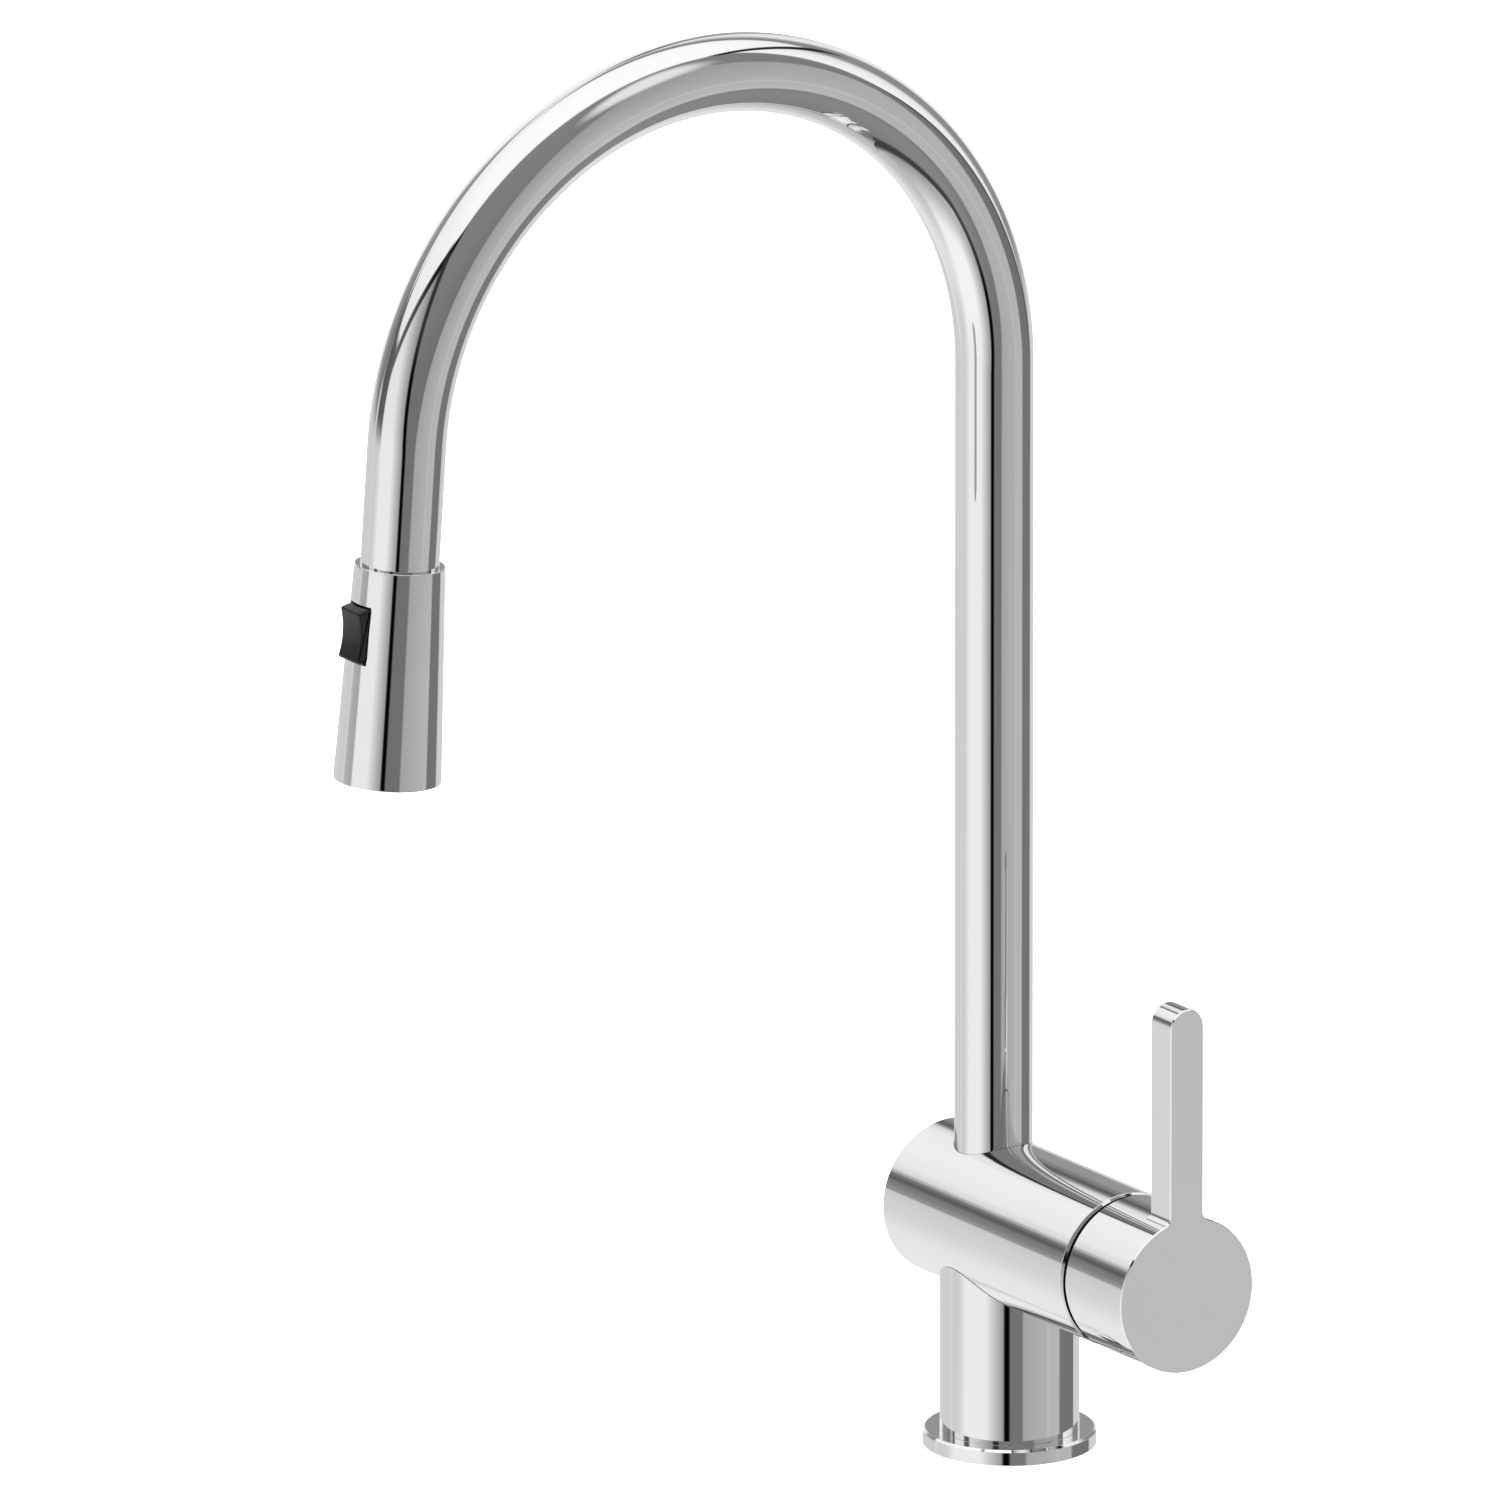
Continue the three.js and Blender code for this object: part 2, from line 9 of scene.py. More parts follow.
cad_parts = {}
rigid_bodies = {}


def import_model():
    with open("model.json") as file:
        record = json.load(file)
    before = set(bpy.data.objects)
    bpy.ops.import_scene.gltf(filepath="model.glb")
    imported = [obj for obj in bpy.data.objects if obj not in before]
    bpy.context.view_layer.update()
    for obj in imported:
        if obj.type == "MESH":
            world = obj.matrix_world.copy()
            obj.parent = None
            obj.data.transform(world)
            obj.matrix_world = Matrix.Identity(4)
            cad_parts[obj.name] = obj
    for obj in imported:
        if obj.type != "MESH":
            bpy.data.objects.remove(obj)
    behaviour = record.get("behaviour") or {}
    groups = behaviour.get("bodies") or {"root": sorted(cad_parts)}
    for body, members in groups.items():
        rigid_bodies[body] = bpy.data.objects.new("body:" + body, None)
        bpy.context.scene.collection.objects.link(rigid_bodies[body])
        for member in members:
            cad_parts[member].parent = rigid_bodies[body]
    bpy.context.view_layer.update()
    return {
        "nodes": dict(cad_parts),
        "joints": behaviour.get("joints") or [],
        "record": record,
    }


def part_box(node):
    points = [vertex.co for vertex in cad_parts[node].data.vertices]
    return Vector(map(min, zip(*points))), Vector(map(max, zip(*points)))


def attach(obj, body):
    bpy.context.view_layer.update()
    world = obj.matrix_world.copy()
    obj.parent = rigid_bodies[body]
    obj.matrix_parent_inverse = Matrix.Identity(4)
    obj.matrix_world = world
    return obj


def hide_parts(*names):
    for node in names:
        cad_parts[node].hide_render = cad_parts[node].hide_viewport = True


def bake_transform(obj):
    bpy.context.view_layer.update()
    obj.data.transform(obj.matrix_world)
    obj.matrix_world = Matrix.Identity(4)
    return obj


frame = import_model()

MM = 0.001

# ---- places and sizes that the frame gives ----

X_AXIS, Y_AXIS, Z_AXIS = Vector((1, 0, 0)), Vector((0, 1, 0)), Vector((0, 0, 1))
JOINTS = {joint["name"]: joint for joint in frame["joints"]}

flange_low, flange_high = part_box("base_flange")
barrel_low, barrel_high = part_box("barrel_shell")
handle_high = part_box("handle")[1]
ring_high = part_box("cover_ring")[1]
hose_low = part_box("pull_hose")[0]

BARREL_Z = (barrel_low.z + barrel_high.z) / 2
SPOUT_X = JOINTS["spout_swivel"]["pos_m"][0]
HEAD_TOP = Vector(JOINTS["head_twist"]["pos_m"])
HEAD_UP = Vector(JOINTS["head_twist"]["axis"]).normalized()
ROCKER_PIVOT = Vector(JOINTS["spray_rocker"]["pos_m"])
HEAD_TILT = math.atan2(HEAD_UP.y, HEAD_UP.z)
HEAD_TURN = Matrix.Rotation(-HEAD_TILT, 4, "X")

# ---- round sizes, which the faceted frame only comes close to ----

TUBE_RADIUS = 12.5 * MM
TUBE_BORE = 11.3 * MM
ARC_RADIUS = 111.5 * MM
ARC_BASE = 354.6 * MM
ARC_SWEEP = math.radians(176)
SEAM = 0.15 * MM
BARREL_RADIUS = 25.3 * MM
BARREL_BORE = 22.8 * MM
BARREL_EDGE = 1.2 * MM  # the broken edge next to the cap
LIP_RADIUS = 24.8 * MM  # the black ring's lip in front of that end
COLUMN_RADIUS = 22.25 * MM
COLUMN_BORE = 19.75 * MM
HEAD_LENGTH = 70 * MM
HEAD_RADIUS_TOP = 14.45 * MM
HEAD_RADIUS_BOTTOM = 17.15 * MM
HEAD_TAPER = math.atan2(HEAD_RADIUS_BOTTOM - HEAD_RADIUS_TOP, HEAD_LENGTH)
HEAD_WALL = 1.4 * MM
AERATOR_HOLE = 6.6 * MM  # the hole round the aerator, in the spray plate and the mat
NOZZLE_RINGS = ((12.4 * MM, 12), (9.2 * MM, 6))  # radius and number of nozzles
NOZZLE_TIP = -69.3 * MM  # these heights are from the top of the head
PLATE_FACE, PLATE_BACK = -67.9 * MM, -63.9 * MM
MAT_FACE, MAT_BACK = -63.6 * MM, -61.1 * MM
HOSE_RADIUS = 5.5 * MM
HOSE_SPLIT = 31 * MM  # above the head, where the part that pulls out begins
BUTTON_WIDTH = 10.9 * MM
BUTTON_HEIGHT = 18.3 * MM
BUTTON_CROWN = 15.8 * MM
BUTTON_RISE = 3.05 * MM
BUTTON_DISH = 1.3 * MM
BUTTON_ROUND = 1 * MM
BUTTON_SURFACE = 4.65 * MM  # from the pivot out to the head's surface
ROCKER_REST = math.radians(2.7)
LEVER_HALF = 6.3 * MM
LEVER_THICKNESS = 11 * MM
LEVER_FILLET = 3 * MM
EDGE_DEPTH = 0.5 * MM  # the broken edge round the handle's front face
EDGE_INSET = 0.3 * MM
CAP_RIM = 69 * MM  # the cap's rear edge, along the barrel's axis
CAP_FLOOR = 88 * MM
CAP_BORE = 22.6 * MM
CAP_RELIEF = math.radians(4.5)  # slant of the rim's lower half
FINE = 192  # sides of the large round pieces
MEDIUM = 96


# ---- mesh helpers ----

def new_object(name, mesh):
    piece = bpy.data.objects.new(name, mesh)
    bpy.context.scene.collection.objects.link(piece)
    return piece


def smooth_by_angle(mesh, degrees=32):
    mesh.shade_smooth()
    mesh.set_sharp_from_angle(angle=math.radians(degrees))


def basis_for(axis):
    """Two directions square to the axis, so that (first, second, axis) is right-handed."""
    axis = Vector(axis).normalized()
    first = X_AXIS if abs(axis.x) < 0.9 else -Z_AXIS
    first = (first - axis * first.dot(axis)).normalized()
    return first, axis.cross(first), axis


def outline(*corners, steps=6):
    """Turns [radius, height, rounding] corners into runs of points with their normals.

    A run is a straight side or a rounded corner. The corners go round with the material
    on the left, so a side's normal is on its right."""
    points = [Vector(corner[:2]) for corner in corners]
    rounds = [corner[2] if len(corner) > 2 else 0 for corner in corners]
    runs = []
    previous_end = points[0]
    for i in range(1, len(points)):
        here = points[i]
        last = i == len(points) - 1
        side = (here - points[i - 1]).normalized()
        normal = Vector((side.y, -side.x))
        if last or rounds[i] == 0:
            runs.append([(previous_end, normal), (here, normal)])
            previous_end = here
            continue
        onward = (points[i + 1] - here).normalized()
        turn = side.angle(onward)
        trim = rounds[i] * math.tan(turn / 2)
        start, end = here - side * trim, here + onward * trim
        next_normal = Vector((onward.y, -onward.x))
        runs.append([(previous_end, normal), (start, normal)])
        convex = side.x * onward.y - side.y * onward.x > 0
        sign = 1 if convex else -1
        centre = start - normal * rounds[i] * sign
        arc = []
        for k in range(steps + 1):
            facing = normal.slerp(next_normal, k / steps)
            arc.append((centre + facing * rounds[i] * sign, facing))
        runs.append(arc)
        previous_end = end
    return runs


def lathe(name, runs, centre, axis, sides=FINE):
    """Turns an outline's runs about an axis, with exact normals."""
    first, second, up = basis_for(axis)
    centre = Vector(centre)
    directions = [
        first * math.cos(2 * math.pi * k / sides) + second * math.sin(2 * math.pi * k / sides)
        for k in range(sides)
    ]
    vertices, faces, normals, rings = [], [], [], {}

    def ring_at(point):
        key = (round(point.x, 8), round(point.y, 8))
        if key not in rings:
            on_axis = point.x < 1e-9
            rings[key] = (len(vertices), on_axis)
            spokes = directions[:1] if on_axis else directions
            vertices.extend(centre + d * point.x + up * point.y for d in spokes)
        return rings[key]

    for run in runs:
        for (a, normal_a), (b, normal_b) in zip(run, run[1:]):
            if (b - a).length < 1e-9:
                continue
            (start_a, pole_a), (start_b, pole_b) = ring_at(a), ring_at(b)
            for k in range(sides):
                n = (k + 1) % sides
                corners = [(start_a + (0 if pole_a else k), normal_a, k)]
                if not pole_a:
                    corners.append((start_a + n, normal_a, n))
                corners.append((start_b + (0 if pole_b else n), normal_b, n))
                if not pole_b:
                    corners.append((start_b + k, normal_b, k))
                faces.append([corner[0] for corner in corners])
                normals.extend(directions[d] * m.x + up * m.y for _, m, d in corners)
    mesh = bpy.data.meshes.new(name)
    mesh.from_pydata(vertices, [], faces)
    mesh.shade_smooth()
    mesh.normals_split_custom_set([n.normalized() for n in normals])
    return new_object(name, mesh)


def carve(piece, *tools):
    """Cuts the tools out of a piece and deletes them."""
    for tool in tools:
        modifier = piece.modifiers.new("cut", "BOOLEAN")
        modifier.operation = "DIFFERENCE"
        modifier.solver = "EXACT"
        modifier.object = tool
    bpy.context.view_layer.update()
    evaluated = piece.evaluated_get(bpy.context.evaluated_depsgraph_get())
    mesh = bpy.data.meshes.new_from_object(evaluated)
    mesh.name = piece.name
    piece.modifiers.clear()
    piece.data = mesh
    for tool in tools:
        bpy.data.objects.remove(tool)
    smooth_by_angle(mesh)
    return piece


def true_normals(piece, surface_normal):
    """Gives the faces that surface_normal(point) knows their exact normals, keeping the rest."""
    mesh = piece.data
    normals = [Vector(corner.vector) for corner in mesh.corner_normals]
    for face in mesh.polygons:
        middle = surface_normal(face.center)
        if middle is None or middle.angle(face.normal) > math.radians(4):
            continue
        for loop in face.loop_indices:
            point = mesh.vertices[mesh.loops[loop].vertex_index].co
            normals[loop] = surface_normal(point) or middle
    mesh.normals_split_custom_set(normals)


def sweep(name, path, radii, sides=MEDIUM):
    """A solid of round section along a path in the plane x = constant.

    radii holds (outer, inner); with inner 0 the ends are closed."""
    outer, inner = radii
    count = len(path)
    vertices, faces = [], []
    for i, point in enumerate(path):
        ahead, behind = path[min(i + 1, count - 1)], path[max(i - 1, 0)]
        tangent = (ahead - behind).normalized()
        normal = tangent.cross(X_AXIS)
        for radius in ([outer, inner] if inner else [outer]):
            for k in range(sides):
                turn = 2 * math.pi * k / sides
                spoke = X_AXIS * math.cos(turn) + normal * math.sin(turn)
                vertices.append(point + spoke * radius)
    ring = sides * (2 if inner else 1)
    for i in range(count - 1):
        for k in range(sides):
            n = (k + 1) % sides
            a, b = i * ring, (i + 1) * ring
            faces.append([a + k, b + k, b + n, a + n])
            if inner:
                a, b = a + sides, b + sides
                faces.append([a + k, a + n, b + n, b + k])
    last = (count - 1) * ring
    if inner:
        for k in range(sides):
            n = (k + 1) % sides
            faces.append([k, n, sides + n, sides + k])
            faces.append([last + k, last + sides + k, last + sides + n, last + n])
    else:
        faces.append(list(range(sides)))
        faces.append([last + k for k in reversed(range(sides))])
    mesh = bpy.data.meshes.new(name)
    mesh.from_pydata(vertices, [], faces)
    smooth_by_angle(mesh)
    return new_object(name, mesh)


def bridge(mesh, one, two):
    """Joins two closed rings of vertices with a band of faces."""
    for k in range(len(one)):
        n = (k + 1) % len(one)
        mesh.faces.new([one[k], one[n], two[n], two[k]])


def close_mesh(name, mesh):
    """Turns a closed bmesh's faces outward and makes it a mesh."""
    bmesh.ops.recalc_face_normals(mesh, faces=mesh.faces)
    data = bpy.data.meshes.new(name)
    mesh.to_mesh(data)
    mesh.free()
    return data


def head_point(x, y, drop):
    """A point in the spray head's frame: drop is the distance down from the top of the head."""
    return HEAD_TOP + HEAD_TURN @ Vector((x, y, -drop))


# ---- materials ----

def new_material(name):
    material = bpy.data.materials.new(name)
    material.use_nodes = True
    nodes = material.node_tree.nodes
    return material, material.node_tree, nodes["Principled BSDF"]


def add_node(tree, kind, inputs=None, **settings):
    node = tree.nodes.new(kind)
    for key, value in settings.items():
        setattr(node, key, value)
    for key, value in (inputs or {}).items():
        if isinstance(value, bpy.types.NodeSocket):
            tree.links.new(value, node.inputs[key])
        else:
            node.inputs[key].default_value = value
    return node


def object_coordinates(tree):
    return add_node(tree, "ShaderNodeTexCoord").outputs["Object"]


def noise(tree, scale, detail=3.0, roughness=0.5):
    where = object_coordinates(tree)
    return add_node(tree, "ShaderNodeTexNoise",
                    {"Vector": where, "Scale": scale, "Detail": detail, "Roughness": roughness})


def remap(tree, value, low, high, from_low=0.0, from_high=1.0):
    return add_node(tree, "ShaderNodeMapRange", {
        "Value": value, "From Min": from_low, "From Max": from_high,
        "To Min": low, "To Max": high}).outputs["Result"]


def bump(tree, height, distance):
    return add_node(tree, "ShaderNodeBump",
                    {"Height": height, "Distance": distance, "Strength": 1.0}).outputs["Normal"]


def shade_between(tree, shader, factor, dark, light):
    """Colours a shader from dark to light by a factor from 0 to 1."""
    tint = add_node(tree, "ShaderNodeMix", {"Factor": factor}, data_type="RGBA")
    tint.inputs[6].default_value = (*dark, 1)
    tint.inputs[7].default_value = (*light, 1)
    tree.links.new(tint.outputs[2], shader.inputs["Base Color"])


def chrome_material():
    """Polished chrome plate: a clean mirror with faint polishing marks and water haze."""
    material, tree, shader = new_material("chrome")
    haze = noise(tree, 35, 4).outputs["Fac"]
    marks = noise(tree, 900, 2).outputs["Fac"]
    mixed = add_node(tree, "ShaderNodeMath", {0: haze, 1: marks}, operation="MULTIPLY").outputs[0]
    tree.links.new(remap(tree, mixed, 0.015, 0.05, 0.1, 0.5), shader.inputs["Roughness"])
    shade_between(tree, shader, haze, (0.86, 0.865, 0.87), (0.9, 0.9, 0.9))
    shader.inputs["Metallic"].default_value = 1
    return material


def metal_material(name, dark, light, rough, grain_scale=400.0):
    """Machined metal with fine turning marks."""
    material, tree, shader = new_material(name)
    grain = noise(tree, grain_scale, 4, 0.6).outputs["Fac"]
    cloud = noise(tree, 60, 3).outputs["Fac"]
    shade_between(tree, shader, cloud, dark, light)
    tree.links.new(remap(tree, grain, rough - 0.08, rough + 0.1), shader.inputs["Roughness"])
    tree.links.new(bump(tree, grain, 0.00002), shader.inputs["Normal"])
    shader.inputs["Metallic"].default_value = 1
    return material


def plastic_material(name, dark, light, rough, grain_scale=1500.0, grain=0.00003):
    """Moulded plastic or rubber with a fine moulded grain and slight shade changes."""
    material, tree, shader = new_material(name)
    fine = noise(tree, grain_scale, 3, 0.6).outputs["Fac"]
    cloud = noise(tree, 80, 3).outputs["Fac"]
    shade_between(tree, shader, cloud, dark, light)
    tree.links.new(remap(tree, cloud, rough - 0.05, rough + 0.07), shader.inputs["Roughness"])
    tree.links.new(bump(tree, fine, grain), shader.inputs["Normal"])
    return material


def braid_material():
    """Woven nylon jacket: two crossed families of strands."""
    material, tree, shader = new_material("hose_braid")
    where = object_coordinates(tree)
    strands = []
    for angle in (math.radians(38), math.radians(-38)):
        turned = add_node(tree, "ShaderNodeMapping", {"Vector": where, "Rotation": (angle, 0, 0)})
        wave = add_node(tree, "ShaderNodeTexWave",
                        {"Vector": turned.outputs["Vector"], "Scale": 190.0, "Distortion": 0.4},
                        bands_direction="Z")
        strands.append(wave.outputs["Fac"])
    weave = add_node(tree, "ShaderNodeMath", {0: strands[0], 1: strands[1]},
                     operation="MAXIMUM").outputs[0]
    shade_between(tree, shader, weave, (0.05, 0.052, 0.055), (0.42, 0.43, 0.44))
    tree.links.new(bump(tree, weave, 0.0004), shader.inputs["Normal"])
    shader.inputs["Roughness"].default_value = 0.45
    return material


MATERIALS = {
    "chrome": chrome_material(),
    "brass": metal_material("brass", (0.5, 0.37, 0.16), (0.66, 0.52, 0.27), 0.3),
    "steel": metal_material("steel", (0.45, 0.46, 0.47), (0.6, 0.61, 0.62), 0.28),
    "rubber": plastic_material("rubber", (0.012, 0.012, 0.013), (0.025, 0.025, 0.026), 0.75),
    "black_plastic": plastic_material("black_plastic", (0.004, 0.004, 0.005),
                                      (0.007, 0.007, 0.008), 0.33),
    "grey_plastic": plastic_material("grey_plastic", (0.14, 0.145, 0.15), (0.18, 0.185, 0.19), 0.42),
    "white_plastic": plastic_material("white_plastic", (0.7, 0.7, 0.69), (0.78, 0.78, 0.77), 0.4),
    "ceramic": plastic_material("ceramic", (0.8, 0.79, 0.76), (0.86, 0.85, 0.83), 0.15, 400, 0.000005),
    "hose_braid": braid_material(),
}
NODE_SLOTS = {entry["node"]: entry["material_slot"] for entry in frame["record"]["subparts"]}
for node_name, node in frame["nodes"].items():
    node.data.materials.clear()
    node.data.materials.append(MATERIALS[NODE_SLOTS[node_name]])


def dress(piece, body, *nodes, slot=None):
    """Gives a piece its material and body, and hides the CAD nodes it stands for."""
    slot = slot or NODE_SLOTS[nodes[0]]
    piece.data.materials.clear()
    piece.data.materials.append(MATERIALS[slot])
    if body:
        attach(piece, body)
    if nodes:
        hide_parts(*nodes)
    return piece


# ---- camera ----

CAMERA_AZIMUTH = math.radians(56.30)
CAMERA_ELEVATION = math.radians(16.33)
VIEW_WIDTH = 0.4769  # width of the frame at the origin's distance
VIEW_RIGHT = -0.0825  # middle of the frame, along the camera's right and up from the origin
VIEW_UP = 0.2196
CAMERA_DISTANCE = 20.0


def make_camera():
    data = bpy.data.cameras.new("camera")
    camera = new_object("camera", data)
    back = Vector((
        math.sin(CAMERA_AZIMUTH) * math.cos(CAMERA_ELEVATION),
        -math.cos(CAMERA_AZIMUTH) * math.cos(CAMERA_ELEVATION),
        math.sin(CAMERA_ELEVATION),
    ))
    rotation = (-back).to_track_quat("-Z", "Y")
    right, up = rotation @ X_AXIS, rotation @ Y_AXIS
    camera.rotation_mode = "QUATERNION"
    camera.rotation_quaternion = rotation
    camera.location = back * CAMERA_DISTANCE + right * VIEW_RIGHT + up * VIEW_UP
    data.sensor_width = 36
    data.lens = data.sensor_width * CAMERA_DISTANCE / VIEW_WIDTH
    data.clip_start, data.clip_end = 1, 100
    bpy.context.scene.camera = camera


# ---- studio ----

def smooth_step(tree, value, low, high):
    """0 below low and 1 above high; the other way round if low is above high."""
    flip = low > high
    node = add_node(tree, "ShaderNodeMapRange", {
        "Value": value, "From Min": min(low, high), "From Max": max(low, high),
        "To Min": 1.0 if flip else 0.0, "To Max": 0.0 if flip else 1.0},
        interpolation_type="SMOOTHSTEP")
    return node.outputs["Result"]


def calculate(tree, operation, a, b=0.0):
    return add_node(tree, "ShaderNodeMath", {0: a, 1: b}, operation=operation).outputs[0]


def weighted(tree, terms):
    """The sum of value * weight over (value, weight) pairs."""
    total = 0.0
    for value, weight in terms:
        total = add_node(tree, "ShaderNodeMath", {0: value, 1: weight, 2: total},
                         operation="MULTIPLY_ADD").outputs[0]
    return total


def both(tree, *masks):
    product = masks[0]
    for mask in masks[1:]:
        product = calculate(tree, "MULTIPLY", product, mask)
    return product


def over(tree, below, level, mask):
    """Lays a level over what is below, where the mask is 1."""
    return add_node(tree, "ShaderNodeMix", {"Factor": mask, "A": below, "B": level}).outputs["Result"]


def ramp(tree, value, *stops):
    """A smooth curve through (position, level) stops, over positions from the first to the last."""
    start, end = stops[0][0], stops[-1][0]
    node = tree.nodes.new("ShaderNodeValToRGB")
    node.color_ramp.interpolation = "EASE"
    elements = node.color_ramp.elements
    while len(elements) < len(stops):
        elements.new(0.5)
    for element, (position, level) in zip(elements, stops):
        element.position = (position - start) / (end - start)
        element.color = (level, level, level, 1)
    tree.links.new(remap(tree, value, 0, 1, start, end), node.inputs["Fac"])
    return node.outputs["Color"]


STUDIO_STRENGTH = 1.17
DISPLAY_GAMMA = 2.2


class Room:
    """A photo studio as directions. Levels are display brightness from 0 to 1, laid over one
    another like paint. Masks are 1 inside what they pick and 0 outside."""

    def __init__(self, tree):
        self.tree = tree
        direction = add_node(tree, "ShaderNodeTexCoord").outputs["Generated"]
        self.x, self.y, self.z = add_node(tree, "ShaderNodeSeparateXYZ", {0: direction}).outputs
        degrees = 180 / math.pi
        turn = calculate(tree, "ARCTAN2", self.y, self.x)
        self.azimuth = calculate(tree, "MULTIPLY", turn, degrees)
        self.elevation = calculate(tree, "MULTIPLY", calculate(tree, "ARCSINE", self.z), degrees)
        self.level = 0.0

    def side(self, across, along, up, offset=0.0):
        """How far a direction is to one side of a plane through the faucet."""
        return weighted(self.tree, [(self.x, across), (self.y, along), (self.z, up), (1.0, offset)])

    def step(self, value, low, high):
        return smooth_step(self.tree, value, low, high)

    def plane(self, across, along, up, low, high):
        """A mask with a straight edge."""
        return self.step(self.side(across, along, up), low, high)

    def joint(self, across, along, up, core, soft, offset=0.0):
        """A mask for a straight stripe."""
        side = self.side(across, along, up, offset)
        return self.step(calculate(self.tree, "ABSOLUTE", side), core + soft, core)

    def column(self, centre, half, soft):
        """A mask for a range of azimuths."""
        offset = add_node(self.tree, "ShaderNodeMath",
                          {0: self.azimuth, 1: centre + 180, 2: centre - 180}, operation="WRAP")
        off_centre = calculate(self.tree, "SUBTRACT", offset.outputs[0], centre)
        return self.step(calculate(self.tree, "ABSOLUTE", off_centre), half + soft, half - soft)

    def row(self, low, high, soft):
        """A mask for a range of elevations."""
        return self.both(self.step(self.elevation, low - soft, low + soft),
                         self.step(self.elevation, high + soft, high - soft))

    def both(self, *masks):
        return both(self.tree, *masks)

    def ramp(self, value, *stops):
        return ramp(self.tree, value, *stops)

    def paint(self, level, mask):
        self.level = over(self.tree, self.level, level, mask)


def lever_wall_side(room):
    """Above 0 on the lever's side of the joint between the front panel and the grey wall."""
    slanted = room.side(0.623, 0.634, 0.456, 0.045)
    upright = weighted(room.tree, [(room.x, 0.259), (room.y, 0.966)])
    return calculate(room.tree, "MAXIMUM", slanted, upright)


def ceiling_side(room):
    """Above 0 on the lever's side of the ceiling's edge."""
    height = calculate(room.tree, "ABSOLUTE", room.z)
    return weighted(room.tree, [(room.x, 1.0), (room.z, -0.26), (height, -0.26), (1.0, 0.11)])


def paint_front(room, wall_side):
    """The floor, and the front panel on the left, which darkens towards the wall's joint."""
    room.level = room.ramp(room.elevation, (-90, 0.6), (-72, 0.72), (-42, 0.86), (-26, 0.79),
                           (-12, 0.78), (90, 0.76))
    falloff = remap(room.tree, wall_side, 1.0, 0.66, -0.5, -0.1)
    panel = room.ramp(room.elevation, (-80, 0.9), (-40, 0.94), (-16, 0.905), (6, 0.87), (30, 0.82))
    room.paint(calculate(room.tree, "MULTIPLY", panel, falloff), room.column(-72, 48, 12))


def paint_back_wall(room):
    back = room.ramp(room.azimuth, (-180, 0.6), (-165, 0.55), (-150, 0.46), (-135, 0.34), (-113, 0.36))
    room.paint(back, room.both(room.column(-148, 32, 2), room.row(-7, 70, 4)))
    room.paint(0.93, room.both(room.column(160, 18, 8), room.row(-10, 70, 5)))


def paint_lever_wall(room, wall_side, reach):
    wall = room.ramp(room.elevation, (-90, 0.47), (-45, 0.51), (-22, 0.445), (-8, 0.425),
                     (30, 0.475), (90, 0.5))
    room.paint(wall, room.both(room.step(reach, -0.04, 0.04), room.step(wall_side, -0.03, 0.03)))
    room.paint(0.53, room.both(room.column(108, 14, 5), room.row(-9, 70, 4)))
    room.paint(0.88, room.both(room.column(131, 9, 6), room.row(-12, 70, 5)))


def paint_screen(room):
    """A pale screen on the lever's side, with a lamp's glow above."""
    mask = room.both(
        room.plane(0, 0.868, -0.496, -0.08, 0.0), room.plane(0.362, 0.475, 0.801, -0.03, 0.03),
        room.step(room.azimuth, 60, 54), room.plane(0.788, -0.326, -0.523, 0.0, 0.08))
    screen = weighted(room.tree, [(room.elevation, -0.0017), (room.azimuth, 0.0011), (1.0, 0.612)])
    room.paint(screen, mask)
    glow = weighted(room.tree, [(room.x, 0.618), (room.y, 0.288), (room.z, 0.731)])
    room.paint(0.87, room.step(glow, 0.955, 0.993))


def paint_window(room):
    mask = room.both(room.column(79.5, 14.5, 2.5), room.plane(-0.704, 0.123, 0.7, 0.0, 0.04),
                     room.plane(-0.6, -0.544, 0.589, 0.0, -0.05))
    room.paint(room.ramp(room.azimuth, (64, 0.95), (86, 0.9), (94, 0.75), (100, 0.7)), mask)
    sill = room.joint(-0.704, 0.123, 0.7, 0.01, 0.045, 0.015)
    room.paint(0.3, room.both(sill, room.column(78, 14, 4)))


def paint_ceiling(room, reach):
    """The ceiling, and a darker band under its edge at the back."""
    over_back = weighted(room.tree, [(room.x, 0.866), (room.y, -0.5), (room.z, 1.0)])
    room.paint(0.52, room.both(
        room.step(over_back, -0.42, -0.12), room.column(150, 42, 8), room.row(10, 70, 6)))
    mask = room.both(
        room.step(reach, 0.02, -0.06), room.plane(-0.558, 0.43, 0.709, -0.02, 0.05),
        room.plane(-0.6, -0.544, 0.589, 0.0, 0.05), room.step(over_back, -0.03, 0.05),
        room.step(room.z, 0.18, 0.26))
    room.paint(room.ramp(room.elevation, (10, 0.88), (35, 0.92), (60, 0.97), (90, 0.98)), mask)


def paint_joints(room, wall_side):
    """The dark joints between the room's faces."""
    room.paint(0.14, room.both(
        room.joint(-0.6, -0.544, 0.589, 0.015, 0.04), room.column(84, 24, 4)))
    left = room.ramp(room.azimuth, (-122, 0.4), (-100, 0.3), (-85, 0.12), (-60, 0.05))
    room.paint(left, room.both(room.joint(-0.558, 0.43, 0.709, 0.03, 0.055),
                               room.column(-92, 27, 3), room.row(2, 60, 4)))
    wall = room.ramp(room.elevation, (-90, 0.25), (-44, 0.26), (-28, 0.05), (3, 0.05), (16, 0.2), (90, 0.2))
    across = calculate(room.tree, "ABSOLUTE", wall_side)
    room.paint(wall, room.both(room.step(across, 0.1, 0.03), room.step(room.elevation, 44, 36),
                               room.step(room.azimuth, 30, 10)))


